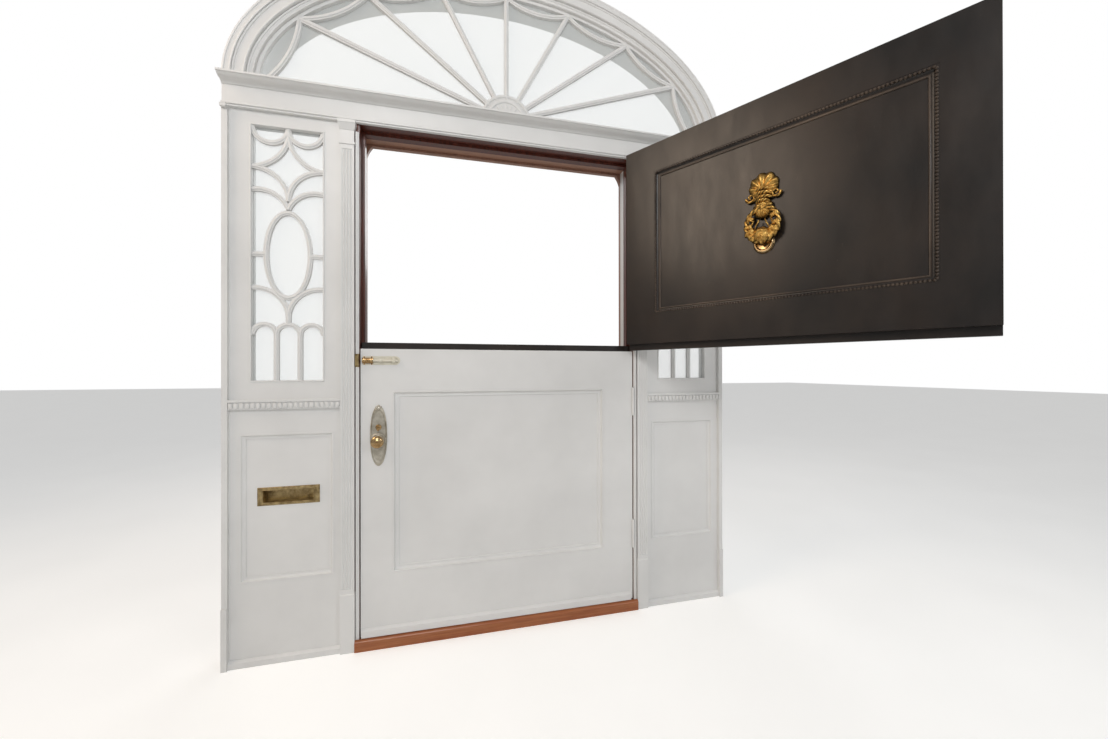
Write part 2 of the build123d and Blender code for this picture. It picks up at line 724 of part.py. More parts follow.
# Hinges: each frame half carries the pin and the odd knuckles, each leaf half
# the even ones
def hinge_half(centre_z, plate_x, parity, pinned):
    """Add one half of a butt hinge: plate, knuckles and, if pinned, the pin."""
    low = centre_z - hinge_height / 2
    pitch = hinge_height / knuckle_count
    slab(plate_x, (0, hinge_leaf_depth), (low, low + hinge_height))
    for index in range(parity, knuckle_count, 2):
        start = low + index * pitch + knuckle_gap / 2
        end = low + (index + 1) * pitch - knuckle_gap / 2
        rod((pin_x, -pin_setback, start), (pin_x, -pin_setback, end), knuckle_radius)
        slab(plate_x, (-pin_setback, 0), (start, end))
    if pinned:
        rod((pin_x, -pin_setback, low), (pin_x, -pin_setback, low + hinge_height), pin_radius)
    else:
        rod((pin_x, -pin_setback, low - 1), (pin_x, -pin_setback, low + hinge_height + 1),
            pin_radius + pin_play, Mode.SUBTRACT)


frame_plate_x = (jamb_face, jamb_face + hinge_plate)
leaf_plate_x = (half_leaf - hinge_plate, half_leaf)
with BuildPart() as frame_hinge_halves:
    for hinge_z in all_hinge_heights:
        hinge_half(hinge_z, frame_plate_x, 0, True)
save(frame_hinge_halves.part, "frame_hinge_halves")

with BuildPart() as lower_hinge_halves:
    for hinge_z in lower_hinge_heights:
        hinge_half(hinge_z, leaf_plate_x, 1, False)
save(lower_hinge_halves.part, "lower_hinge_halves")

with BuildPart() as upper_hinge_halves:
    for hinge_z in upper_hinge_heights:
        hinge_half(hinge_z, leaf_plate_x, 1, False)
save_upper(upper_hinge_halves.part, "upper_hinge_halves")


# Leaf joinery: grooved stiles with mortises, rails with tenons, a floating panel
def stile(x, z, panel_z, rails, inner_side):
    """Add a stile: a board grooved for the panel and mortised for its rails."""
    slab(x, (0, leaf_thickness), z)
    inner = x[1] if inner_side > 0 else x[0]
    groove_y = (panel_faces[0] - groove_play / 2, panel_faces[1] + groove_play / 2)
    slab((inner - inner_side * groove_depth, inner), groove_y,
         (panel_z[0] - groove_depth, panel_z[1] + groove_depth), Mode.SUBTRACT)
    half_mortise = (tenon_thickness + groove_play) / 2
    for rail_z in rails:
        slab((inner - inner_side * (tenon_length + groove_play), inner),
             (mid_depth - half_mortise, mid_depth + half_mortise),
             (rail_z[0] + tenon_shoulder, rail_z[1] - tenon_shoulder), Mode.SUBTRACT)


def rail(z, panel_edge, groove_side):
    """Add a rail with a tenon at each end and the panel's groove on one edge."""
    slab((panel_left, panel_right), (0, leaf_thickness), z)
    slab((panel_left - tenon_length, panel_right + tenon_length),
         (mid_depth - tenon_thickness / 2, mid_depth + tenon_thickness / 2),
         (z[0] + tenon_shoulder, z[1] - tenon_shoulder))
    groove_y = (panel_faces[0] - groove_play / 2, panel_faces[1] + groove_play / 2)
    slab((panel_left, panel_right), groove_y,
         (panel_edge, panel_edge + groove_side * groove_depth), Mode.SUBTRACT)


def leaf_panel(panel_z):
    """Add the flat panel that floats in the grooves."""
    bite = groove_depth - groove_play
    slab((panel_left - bite, panel_right + bite), panel_faces, (panel_z[0] - bite, panel_z[1] + bite))


def leaf_mouldings(panel_z):
    """Add the moulding round the panel on both faces."""
    rise = panel_faces[0] - 1
    moulding((panel_left, panel_right), panel_z, panel_faces[0], -1, moulding_width, rise)
    moulding((panel_left, panel_right), panel_z, panel_faces[1], 1, moulding_width, rise)


lower_z = (leaf_bottom, meeting_height)
lower_rails = ((leaf_bottom, lower_panel[0]), (lower_panel[1], meeting_height))
hinge_stile_x = (panel_right, half_leaf)
latch_stile_x = (-half_leaf, panel_left)
case_y = (mid_depth - case_thickness / 2, mid_depth + case_thickness / 2)
face_plate_y = (mid_depth - face_plate_width / 2, mid_depth + face_plate_width / 2)
face_plate_z = (case_bottom - 25, case_top + 25)

with BuildPart() as lower_latch_stile:
    stile(latch_stile_x, lower_z, lower_panel, lower_rails, 1)
    slab((-half_leaf, -half_leaf + face_plate_thickness), face_plate_y, face_plate_z, Mode.SUBTRACT)
    slab((-half_leaf, case_back + 0.5), (case_y[0] - 0.2, case_y[1] + 0.2),
         (case_bottom - 0.5, case_top + 0.5), Mode.SUBTRACT)
    for spindle_z, radius in ((knob_height, spindle_radius), (turn_height, turn_spindle_radius)):
        rod((lock_x, -1, spindle_z), (lock_x, leaf_thickness + 1, spindle_z), radius + 3, Mode.SUBTRACT)
save(lower_latch_stile.part, "lower_latch_stile")

with BuildPart() as lower_hinge_stile:
    stile(hinge_stile_x, lower_z, lower_panel, lower_rails, -1)
    for hinge_z in lower_hinge_heights:
        slab(leaf_plate_x, (0, hinge_leaf_depth),
             (hinge_z - hinge_height / 2, hinge_z + hinge_height / 2), Mode.SUBTRACT)
save(lower_hinge_stile.part, "lower_hinge_stile")

flush_rod_low = lip_bottom + 2
with BuildPart() as lower_top_rail_board:
    rail(lower_rails[1], lower_panel[1], 1)
    rod((0, flush_depth, meeting_height - flush_throw - 6), (0, flush_depth, meeting_height + 1),
        flush_rod_radius + 1, Mode.SUBTRACT)
save(lower_top_rail_board.part, "lower_top_rail")

with BuildPart() as lower_bottom_rail_board:
    rail(lower_rails[0], lower_panel[0], -1)
save(lower_bottom_rail_board.part, "lower_bottom_rail")

with BuildPart() as lower_panel_board:
    leaf_panel(lower_panel)
save(lower_panel_board.part, "lower_panel")

with BuildPart() as lower_mouldings:
    leaf_mouldings(lower_panel)
save(lower_mouldings.part, "lower_mouldings")

with BuildPart() as lower_meeting_lip:
    slab((-half_leaf, half_leaf), (mid_depth + 1, leaf_thickness),
         (meeting_height, meeting_height + lap_height))
save(lower_meeting_lip.part, "lower_meeting_lip")

with BuildPart() as bottom_strip:
    slab((-half_leaf + 4, half_leaf - 12), (-strip_depth, 0), (leaf_bottom, leaf_bottom + strip_height))
    strip_edge = bottom_strip.edges().filter_by(Axis.X).group_by(Axis.Y)[0].sort_by(Axis.Z)[-1]
    chamfer(strip_edge, strip_depth * 0.75)
save(bottom_strip.part, "bottom_strip")


# Lock: two oval plates, the mortised case, and the four moving pieces
def pointed_oval(half_width, half_height, mode=Mode.ADD):
    """Sketch an oval of two arcs that meet in a point at the top and the foot."""
    with BuildLine() as arcs:
        ThreePointArc((0, -half_height), (half_width, 0), (0, half_height))
        ThreePointArc((0, half_height), (-half_width, 0), (0, -half_height))
    make_face(arcs.edges(), mode=mode)


def oval_plate(face, side):
    """Add a pointed oval plate with a raised rim and a round rose."""
    plane = Plane(origin=(lock_x, face, plate_height), x_dir=(1, 0, 0), z_dir=(0, side, 0))
    with BuildSketch(plane) as outline:
        pointed_oval(plate_half_width, plate_half_height)
    extrude(outline.sketch, amount=plate_thickness)
    with BuildSketch(plane) as rim:
        pointed_oval(plate_half_width, plate_half_height)
        pointed_oval(plate_half_width - rim_width, plate_half_height - rim_width, Mode.SUBTRACT)
    extrude(rim.sketch, amount=plate_thickness + plate_rim)
    rod((lock_x, face, knob_height), (lock_x, face + side * (plate_thickness + rose_depth), knob_height),
        rose_radius)
    for spindle_z, radius in ((knob_height, spindle_radius), (turn_height, turn_spindle_radius)):
        rod((lock_x, face - side, spindle_z), (lock_x, face + side * 20, spindle_z),
            radius + spindle_play, Mode.SUBTRACT)


with BuildPart() as lock_plates:
    oval_plate(0, -1)
    oval_plate(leaf_thickness, 1)
save(lock_plates.part, "lock_plates")

case_front = -half_leaf + face_plate_thickness
bolt_back = lock_x - spindle_radius - 8
with BuildPart() as lock_case:
    slab((case_front, case_back), case_y, (case_bottom, case_top))
    slab((-half_leaf, case_front), face_plate_y, face_plate_z)
    for hole_z in (latch_z, dead_z):
        slab((-half_leaf - 1, bolt_back + 0.5), (bolt_y[0] - bolt_play, bolt_y[1] + bolt_play),
             (hole_z[0] - bolt_play, hole_z[1] + bolt_play), Mode.SUBTRACT)
    for spindle_z, radius in ((knob_height, spindle_radius), (turn_height, turn_spindle_radius)):
        rod((lock_x, -1, spindle_z), (lock_x, leaf_thickness + 1, spindle_z),
            radius + spindle_play, Mode.SUBTRACT)
save(lock_case.part, "lock_case")

with BuildPart() as latch_bolt:
    slab((-half_leaf + 0.4, bolt_back), bolt_y, latch_z)
    nose = latch_bolt.edges().filter_by(Axis.Z).group_by(Axis.X)[0].sort_by(Axis.Y)[-1]
    chamfer(nose, bolt_thickness * 0.7)
save(latch_bolt.part, "latch_bolt")

with BuildPart() as dead_bolt:
    slab((-half_leaf + 0.4, bolt_back), bolt_y, dead_z)
save(dead_bolt.part, "dead_bolt")

rose_face = plate_thickness + rose_depth + spindle_play
with BuildPart() as knob:
    for face, side in ((0, -1), (leaf_thickness, 1)):
        knob_plane = Plane(origin=(lock_x, face, knob_height), x_dir=(1, 0, 0), z_dir=(0, 0, 1))
        start = side * rose_face
        end = side * knob_reach
        middle = end - side * knob_radius * 0.8
        with BuildSketch(knob_plane) as knob_section:
            with BuildLine():
                Polyline((0, start), (neck_radius * 1.3, start), (neck_radius * 0.8, start + side * 6),
                         (neck_radius * 0.8, middle - side * knob_radius * 0.75))
                ThreePointArc((neck_radius * 0.8, middle - side * knob_radius * 0.75),
                              (knob_radius, middle), (neck_radius * 0.8, end - side * 0.6))
                Polyline((neck_radius * 0.8, end - side * 0.6), (0, end), (0, start))
            make_face()
        revolve(knob_section.sketch, axis=Axis((lock_x, 0, knob_height), (0, 1, 0)))
    rod((lock_x, -rose_face - 4, knob_height), (lock_x, leaf_thickness + rose_face + 4, knob_height),
        spindle_radius)
save(knob.part, "knob")

turn_front = plate_thickness + spindle_play
with BuildPart() as thumb_turn:
    rod((lock_x, -turn_front - 12, turn_height), (lock_x, case_y[1] - 2, turn_height), turn_spindle_radius)
    rod((lock_x, -turn_front - 4, turn_height), (lock_x, -turn_front, turn_height), 9)
    turn_plane = Plane(origin=(lock_x, -turn_front - 8, turn_height), x_dir=(1, 0, 0), z_dir=(0, -1, 0))
    with BuildSketch(turn_plane) as turn_wing:
        Ellipse(4, 14)
    extrude(turn_wing.sketch, amount=13)
save(thumb_turn.part, "thumb_turn")

# Surface bolt: base plate with two guides on the leaf, a keeper on the frame
surface_y = -surface_rod_reach
guide_xs = ((surface_plate_left, surface_plate_left + guide_length),
            (surface_plate_right - 30, surface_plate_right - 18))
half_surface = surface_plate_width / 2
with BuildPart() as bolt_plate:
    slab((surface_plate_left, surface_plate_right), (-plate_thickness, 0),
         (surface_bolt_height - half_surface, surface_bolt_height + half_surface))
    plate_ends = bolt_plate.edges().filter_by(Axis.Y).group_by(Axis.X)[-1]
    fillet(plate_ends, half_surface * 0.9)
    for guide in guide_xs:
        slab(guide, (surface_y - surface_rod_radius - 2.5, 0),
             (surface_bolt_height - 12, surface_bolt_height + 12))
        guide_top = bolt_plate.edges().filter_by(Axis.X).group_by(Axis.Y)[0].filter_by_position(
            Axis.X, guide[0] - 1, guide[1] + 1)
        chamfer(guide_top, 4)
    rod((surface_plate_left - 1, surface_y, surface_bolt_height),
        (surface_plate_right + 1, surface_y, surface_bolt_height),
        surface_rod_radius + bolt_play, Mode.SUBTRACT)
save(bolt_plate.part, "bolt_plate")

with BuildPart() as surface_bolt:
    rod((surface_plate_left - 0.5, surface_y, surface_bolt_height),
        (surface_plate_right - 8, surface_y, surface_bolt_height), surface_rod_radius)
    handle_x = guide_xs[0][1] + surface_throw + 12
    rod((handle_x, surface_y, surface_bolt_height), (handle_x, surface_y - 14, surface_bolt_height), 4)
    with Locations((handle_x, surface_y - 18, surface_bolt_height)):
        Sphere(7)
save(surface_bolt.part, "surface_bolt")

with BuildPart() as bolt_keeper:
    keeper_x = (-bead_inner - keeper_width, -bead_inner)
    slab(keeper_x, (-surface_rod_reach - surface_rod_radius - 3, 0), keeper_z)
    keeper_front = bolt_keeper.faces().sort_by(Axis.Y)[0]
    chamfer(keeper_front.edges().filter_by(Axis.X), 6)
    rod((keeper_x[0] - 1, surface_y, surface_bolt_height), (keeper_x[1] + 1, surface_y, surface_bolt_height),
        surface_rod_radius + 0.8, Mode.SUBTRACT)
save(bolt_keeper.part, "bolt_keeper")

# Upper leaf, drawn closed and saved swung open
upper_z = (upper_bottom, upper_top)
upper_rails = ((upper_bottom, upper_panel[0]), (upper_panel[1], upper_top))
with BuildPart() as upper_latch_stile:
    stile(latch_stile_x, upper_z, upper_panel, upper_rails, 1)
save_upper(upper_latch_stile.part, "upper_latch_stile")

with BuildPart() as upper_hinge_stile:
    stile(hinge_stile_x, upper_z, upper_panel, upper_rails, -1)
    for hinge_z in upper_hinge_heights:
        slab(leaf_plate_x, (0, hinge_leaf_depth),
             (hinge_z - hinge_height / 2, hinge_z + hinge_height / 2), Mode.SUBTRACT)
save_upper(upper_hinge_stile.part, "upper_hinge_stile")

with BuildPart() as upper_top_rail_board:
    rail(upper_rails[1], upper_panel[1], 1)
save_upper(upper_top_rail_board.part, "upper_top_rail")

flush_rod_top = flush_rod_low + flush_rod_length
flush_knob_z = flush_rod_top - 16
flush_slot_z = (flush_knob_z - flush_throw - 5, flush_knob_z + 5)
with BuildPart() as upper_bottom_rail_board:
    rail(upper_rails[0], upper_panel[0], -1)
    rod((0, flush_depth, upper_bottom - 1), (0, flush_depth, flush_rod_top + 1),
        flush_rod_radius + bolt_play, Mode.SUBTRACT)
    slab((-flush_slot_width / 2, flush_slot_width / 2), (-1, flush_depth), flush_slot_z, Mode.SUBTRACT)
save_upper(upper_bottom_rail_board.part, "upper_bottom_rail")

with BuildPart() as upper_panel_board:
    leaf_panel(upper_panel)
save_upper(upper_panel_board.part, "upper_panel")

with BuildPart() as upper_mouldings:
    leaf_mouldings(upper_panel)
save_upper(upper_mouldings.part, "upper_mouldings")

with BuildPart() as upper_meeting_lip:
    slab((-half_leaf, half_leaf), (0, mid_depth), (lip_bottom, upper_bottom))
    rod((0, flush_depth, lip_bottom - 1), (0, flush_depth, upper_bottom + 1),
        flush_rod_radius + bolt_play, Mode.SUBTRACT)
save_upper(upper_meeting_lip.part, "upper_meeting_lip")

with BuildPart() as flush_bolt:
    rod((0, flush_depth, flush_rod_low), (0, flush_depth, flush_rod_top), flush_rod_radius)
    rod((0, flush_depth, flush_knob_z), (0, -6, flush_knob_z), 3.5)
save_upper(flush_bolt.part, "flush_bolt")

# Knocker: a back plate with a crest and boss, a hinged wreath and a strike button
outer_face = panel_faces[1]
knocker_plane = Plane(origin=(0, outer_face, knocker_pivot_height), x_dir=(-1, 0, 0), z_dir=(0, 1, 0))
crest = knocker_crest
ring_low = -2 * ring_half_height
pivot_depth = knocker_boss_depth * 0.55
with BuildPart() as knocker_plate:
    with BuildSketch(knocker_plane) as shield:
        with BuildLine():
            Spline((0, -46), (30, -24), (knocker_half_width * 0.72, 14), (36, 52),
                   (knocker_half_width * 0.8, crest * 0.74), (0, crest))
            Spline((0, crest), (-knocker_half_width * 0.8, crest * 0.74), (-36, 52),
                   (-knocker_half_width * 0.72, 14), (-30, -24), (0, -46))
        make_face()
    extrude(shield.sketch, amount=6)
    with Locations(knocker_plane.offset(0)):
        with Locations((0, 48, 6)):
            Sphere(27)
        with Locations((0, 8, 0)):
            Cylinder(20, pivot_depth - 5 - 1.2, align=(Align.CENTER, Align.CENTER, Align.MIN))
    slab((-60, 60), (-10, outer_face),
         (knocker_pivot_height - 90, knocker_pivot_height + crest + 10), Mode.SUBTRACT)
    for hand in (-1, 1):
        slab((hand * 25, hand * 33), (outer_face, outer_face + pivot_depth + 0.6),
             (knocker_pivot_height - 4, knocker_pivot_height + 7))
    striker_z = knocker_pivot_height + ring_low
    rod((0, outer_face, striker_z), (0, outer_face + striker_depth, striker_z), striker_radius)
save_upper(knocker_plate.part, "knocker_plate")

with BuildPart() as knocker_ring:
    ring_y = outer_face + pivot_depth
    hub_z = knocker_pivot_height
    ring_half = (ring_half_width, ring_half_height - 3)
    ring_plane = Plane(origin=(0, ring_y + 4, hub_z - ring_half_height - 3), x_dir=(1, 0, 0),
                       z_dir=(0, -1, 0))
    with BuildSketch(ring_plane) as wreath:
        Ellipse(ring_half[0] + ring_bar_radius, ring_half[1] + ring_bar_radius)
        Ellipse(ring_half[0] - ring_bar_radius, ring_half[1] - ring_bar_radius, mode=Mode.SUBTRACT)
    extrude(wreath.sketch, amount=ring_bar_radius, both=True)
    chamfer(knocker_ring.edges().filter_by(GeomType.ELLIPSE), ring_bar_radius * 0.55)
    rod((-24.6, ring_y, hub_z), (24.6, ring_y, hub_z), 5)
save_upper(knocker_ring.part, "knocker_ring")
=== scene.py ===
"""Dress a two-leaf stable door and its joined entrance frame: paint, wood, glass and brass over
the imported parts, with the carved, beaded and turned pieces worked out as surfaces."""

import math

import bmesh
import bpy
import numpy as np
from bpy.props import FloatProperty, FloatVectorProperty, PointerProperty, StringProperty
from bpy.types import Operator, Panel, PropertyGroup
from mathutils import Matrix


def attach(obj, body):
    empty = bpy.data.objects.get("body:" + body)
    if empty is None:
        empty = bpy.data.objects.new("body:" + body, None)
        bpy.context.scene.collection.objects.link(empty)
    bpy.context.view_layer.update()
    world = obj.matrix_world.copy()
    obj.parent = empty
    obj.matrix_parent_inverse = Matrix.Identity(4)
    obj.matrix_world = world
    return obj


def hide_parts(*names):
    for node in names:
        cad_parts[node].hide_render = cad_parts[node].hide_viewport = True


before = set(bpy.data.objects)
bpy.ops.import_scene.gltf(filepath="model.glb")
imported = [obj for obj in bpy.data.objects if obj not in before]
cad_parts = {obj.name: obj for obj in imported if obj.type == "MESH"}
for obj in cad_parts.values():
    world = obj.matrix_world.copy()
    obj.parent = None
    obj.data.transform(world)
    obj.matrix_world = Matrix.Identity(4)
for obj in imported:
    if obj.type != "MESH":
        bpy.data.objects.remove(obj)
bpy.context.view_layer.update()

bl_info = {
    "name": "Stable Door Finisher",
    "version": (1, 0, 0),
    "blender": (4, 5, 0),
    "location": "View3D > Sidebar > Stable Door",
    "description": "Finishes a packed stable door with paint, glass, brass and carved detail",
    "category": "Object",
}

MM = 0.001

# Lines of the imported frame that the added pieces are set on, in metres
HINGE_LINE = np.array((611.0, -7.0, 0.0)) * MM
OPEN_TURN = math.radians(121.2)
LIGHT_CENTRE = 878.0 * MM
HALF_LIGHT = 127.0 * MM
LIGHT_TOP = 2120.0 * MM
LIGHT_DROP = 1114.0 * MM - LIGHT_TOP
LIGHT_FRONT = 4.0 * MM
POST_LINE = HALF_LIGHT / 3
FAN_START = 2286.0 * MM
FAN_FRONT = 10.0 * MM
FAN_GLASS = np.array((1000.0, 572.0)) * MM
FAN_OUTER = np.array((1100.0, 672.0)) * MM
SASH_RING = 14.0 * MM
RAY_ANGLES = np.radians((-90.0, -70.8, -52.5, -28.6, 0.0, 28.6, 52.5, 70.8, 90.0))
LOCK_X = -539.5 * MM
KNOB_Z = 860.0 * MM
TURN_Z = 916.0 * MM
PLATE_Z = 881.0 * MM
LEAF_THICKNESS = 50.0 * MM
PANEL_LEFT = -484.5 * MM
PANEL_RIGHT = 459.5 * MM
UPPER_PANEL = (1409.0 * MM, 2047.0 * MM)
LOWER_PANEL = (303.0 * MM, 1066.0 * MM)
PANEL_OUT = 35.0 * MM
PIVOT_Z = 1762.0 * MM
LETTER = np.array((-875.7, 654.5)) * MM
LETTER_FRONT = 4.0 * MM
WEATHER_LINE = 109.5 * MM
DENTIL_RUN = (684.0 * MM, 1080.0 * MM)
DENTIL_Z = 1016.0 * MM
DENTIL_FRONT = -10.0 * MM
BOLT_LEFT = -601.0 * MM
BOLT_RIGHT = -454.0 * MM
BOLT_Z = 1195.0 * MM
BOLT_AXIS = -9.5 * MM
BOLT_KNOB_X = -528.0 * MM

ACROSS = np.array((1.0, 0.0, 0.0))
DEEP = np.array((0.0, 1.0, 0.0))
UPWARD = np.array((0.0, 0.0, 1.0))
WEATHER_SIDE = (0.0, 1.0, 0.0)
OPEN_ROOM_SIDE = (math.sin(OPEN_TURN), -math.cos(OPEN_TURN), 0.0)

LEAF_JOINERY = ("latch_stile", "hinge_stile", "top_rail", "bottom_rail", "panel", "mouldings")
NODE_FINISHES = {
    "black_leaf_paint": [f"upper_{part}" for part in LEAF_JOINERY],
    "black_lip_paint": ("upper_meeting_lip", "lower_meeting_lip"),
    "white_leaf_paint": [f"lower_{part}" for part in LEAF_JOINERY],
    "stained_jamb_wood": ("jamb_left", "jamb_right", "jamb_head", "door_stops"),
    "weathered_casing_paint": ("exterior_casing",),
    "white_post_paint": ("transom",),
    "varnished_nosing_wood": ("threshold_nosing",),
    "dark_sill_wood": ("threshold",),
    "aged_plate_brass": ("letter_plate", "letter_tunnel", "letter_flap", "bolt_keeper"),
    "worn_nickel_plate": ("lock_plates",),
    "polished_knob_brass": ("strike_plate", "latch_bolt", "dead_bolt", "flush_bolt"),
    "bright_case_steel": ("lock_case",),
    "window_glass": ("sidelight_panes", "fan_pane"),
}


def linear(hex_colour):
    """Turn sRGB hex to linear light: ((c + 0.055) / 1.055) ** 2.4, or c / 12.92 when dark."""
    channels = np.array([int(hex_colour[i:i + 2], 16) for i in (1, 3, 5)]) / 255.0
    lit = np.where(channels <= 0.04045, channels / 12.92, ((channels + 0.055) / 1.055) ** 2.4)
    return tuple(lit) + (1.0,)


# Surfaces


def joined(*parts):
    """Set values side by side along one new last axis."""
    return np.stack(np.broadcast_arrays(*parts), axis=-1)


def full_turn(count):
    """Even angles once round, without the last one that would repeat the first."""
    return np.linspace(0, 2 * math.pi, count, endpoint=False)


def around(reach, turn, right, up):
    """Points round a centre: reach (cos turn right + sin turn up)."""
    return (reach * np.cos(turn))[..., None] * right + (reach * np.sin(turn))[..., None] * up


def shell(points, wrap_rows=False, relief=None):
    """Number the quads of a grid that closes on itself along its rows: corner (i, j) meets
    (i+1, j), (i+1, j+1) and (i, j+1)."""
    rows, columns = points.shape[:2]
    index = np.arange(rows * columns).reshape(rows, columns)
    if wrap_rows:
        index = np.vstack((index, index[:1]))
    index = np.hstack((index, index[:, :1]))
    faces = joined(index[:-1, :-1], index[1:, :-1], index[1:, 1:], index[:-1, 1:])
    heights = np.ones((rows, columns)) if relief is None else relief
    return points.reshape(-1, 3), faces.reshape(-1, 4), heights.reshape(-1)


def stamp(grid, centres):
    """Repeat a closed grid at many centres: P(k, i, j) = centre(k) + grid(i, j)."""
    points, faces, heights = shell(grid)
    count, size = len(centres), len(points)
    every = (centres[:, None] + points[None]).reshape(-1, 3)
    numbered = (faces[None] + size * np.arange(count)[:, None, None]).reshape(-1, 4)
    return every, numbered, np.tile(heights, count)


def pinched(row):
    """Close a tube's end: every point of the row goes to the row's middle."""
    return np.repeat(row.mean(axis=1, keepdims=True), row.shape[1], axis=1)


def bar(section, path, up, closed=False, taper=None):
    """Carry a section along a flat path: P(s, t) = path(s) + a(t) m(s) + b(t) up. The mitre m(s)
    is the sum of the two side directions at s divided by one plus their cosine."""
    ahead = np.roll(path, -1, axis=0) - path
    if not closed:
        ahead[-1] = ahead[-2]
    ahead /= np.linalg.norm(ahead, axis=1, keepdims=True)
    behind = np.roll(ahead, 1, axis=0)
    if not closed:
        behind[0] = ahead[0]
    side = np.cross(up, ahead)
    mitre = side + np.cross(up, behind)
    mitre /= (mitre * side).sum(axis=1, keepdims=True)
    size = np.ones(len(path)) if taper is None else taper
    reach = section[None] * size[:, None, None]
    points = path[:, None] + reach[..., :1] * mitre[:, None] + reach[..., 1:] * up
    if not closed:
        points = np.concatenate((pinched(points[:1]), points, pinched(points[-1:])))
    return shell(points, wrap_rows=closed)


def ridge(width, height):
    """Half-round section (w/2 cos t, h sin t), t from 0 to pi, on a base sunk half a millimetre."""
    t = np.linspace(0, math.pi, 9)
    top = joined(width / 2 * np.cos(t), height * np.sin(t))
    return np.vstack((top, ((-width / 2, -0.5 * MM), (width / 2, -0.5 * MM))))


def in_plane(flat, depth, origin=(0.0, 0.0)):
    """Lay (across, up) points on an upright plane at a depth from the room face."""
    flat = np.asarray(flat, float) + np.asarray(origin)
    return joined(flat[:, 0], depth, flat[:, 1])


def moulding(line, depth, width, height, origin=(0.0, 0.0), out=-DEEP, **how):
    """Run a half-round ridge along a line on an upright plane."""
    return bar(ridge(width, height), in_plane(line, depth, origin), out, **how)


def arc(start, middle, end, count=15):
    """Points of the circle through three points: c + r (cos t, sin t), t running past the middle."""
    a, b, c = (np.asarray(p, float) for p in (start, middle, end))
    lines = 2 * np.array((b - a, c - a))
    centre = np.linalg.solve(lines, np.array((b @ b - a @ a, c @ c - a @ a)))
    angles = np.unwrap([math.atan2(*(p - centre)[::-1]) for p in (a, b, c)])
    t = np.linspace(angles[0], angles[2], count)
    return centre + np.linalg.norm(a - centre) * joined(np.cos(t), np.sin(t))


def half_oval(half, count=73):
    """Points of the upper half of an ellipse: (a cos t, b sin t)."""
    t = np.linspace(0, math.pi, count)
    return joined(half[0] * np.cos(t), half[1] * np.sin(t))


def rectangle(left, right, first, second):
    """Corners of a rectangle, along at the first height and back at the second."""
    return np.array(((left, first), (right, first), (right, second), (left, second)))


def panel_ring(heights, inset):
    """Corners of a ring that lies inside a leaf's panel by an even inset."""
    return rectangle(PANEL_LEFT + inset, PANEL_RIGHT - inset, heights[0] + inset, heights[1] - inset)


def rounded(profile, steps=6):
    """Round a turned profile by a Catmull-Rom curve through its points."""
    padded = np.vstack((2 * profile[0] - profile[1], profile, 2 * profile[-1] - profile[-2]))
    t = np.linspace(0, 1, steps, endpoint=False)[None, :, None]
    a, b, c, d = (padded[k:len(padded) - 3 + k][:, None] for k in range(4))
    curve = 0.5 * (2 * b + (c - a) * t + (2 * a - 5 * b + 4 * c - d) * t ** 2
                   + (3 * b - a - 3 * c + d) * t ** 3)
    smooth = np.vstack((curve.reshape(-1, 2), profile[-1:]))
    smooth[:, 0] = np.maximum(smooth[:, 0], 0.0)
    return smooth


def lathe(profile, centre, axis, count=48, steps=6):
    """Turn a rounded profile of (radius, way along) in millimetres about a level axis:
    P(t, f) = c + d(t) axis + r(t) (cos f u + sin f v)."""
    curve = rounded(np.array(profile) * MM, steps)
    u = np.cross(axis, UPWARD)
    ring = around(np.ones(count), full_turn(count), u, np.cross(axis, u))
    return shell(centre + curve[:, None, 1:] * axis + curve[:, None, :1] * ring[None])


def ball(radii, power=2.0, rows=7, columns=10):
    """Superellipsoid |x/a|^p + |y/b|^p + |z/c|^p = 1 on a grid of latitude and longitude."""
    v = np.linspace(-math.pi / 2, math.pi / 2, rows)[:, None]
    f = full_turn(columns)[None]
    x, y, z = np.cos(v) * np.cos(f), np.cos(v) * np.sin(f), np.sin(v) + 0 * f
    scale = (np.abs(x) ** power + np.abs(y) ** power + np.abs(z) ** power) ** (-1 / power)
    return joined(x, y, z) * scale[..., None] * np.asarray(radii)


def carved(centre, right, up, out, outline, relief, rings, spokes):
    """Carve a closed medallion: P(r, f) = c + r R(f) (cos f right + sin f up) + h(r, f) out,
    with the flat back at h = 0 closing it."""
    r = np.linspace(0, 1, rings)[:, None]
    f = full_turn(spokes)[None]
    heights = relief(r, f)
    flat = around(r * outline(f), f, right, up)
    front = centre + flat + heights[..., None] * out
    back = centre + flat[::-1]
    high = heights / heights.max()
    high = np.concatenate((high, np.zeros_like(high)))
    return shell(np.concatenate((front, back)), relief=high)


def roll_tube(path, radius, taper, waves=0, swell=0.0):
    """Tube with a modelled skin: radius(s, t) = r taper(s) (1 + swell cos(waves s + 3 t))."""
    t = full_turn(14)[None]
    s = np.linspace(0, 1, len(path))[:, None]
    skin = 1 + swell * np.cos(waves * 2 * math.pi * s + 3 * t)
    ahead = np.gradient(path, axis=0)
    ahead /= np.linalg.norm(ahead, axis=1, keepdims=True)
    side = np.cross(DEEP, ahead)
    side /= np.linalg.norm(side, axis=1, keepdims=True)
    size = radius * taper[:, None] * skin
    points = path[:, None] + around(size, t, side[:, None], DEEP)
    high = (skin - skin.min()) / max(float(np.ptp(skin)), 1e-9)
    edge = np.zeros_like(t)
    tube = np.concatenate((pinched(points[:1]), points, pinched(points[-1:])))
    return shell(tube, relief=np.vstack((edge, high, edge)))


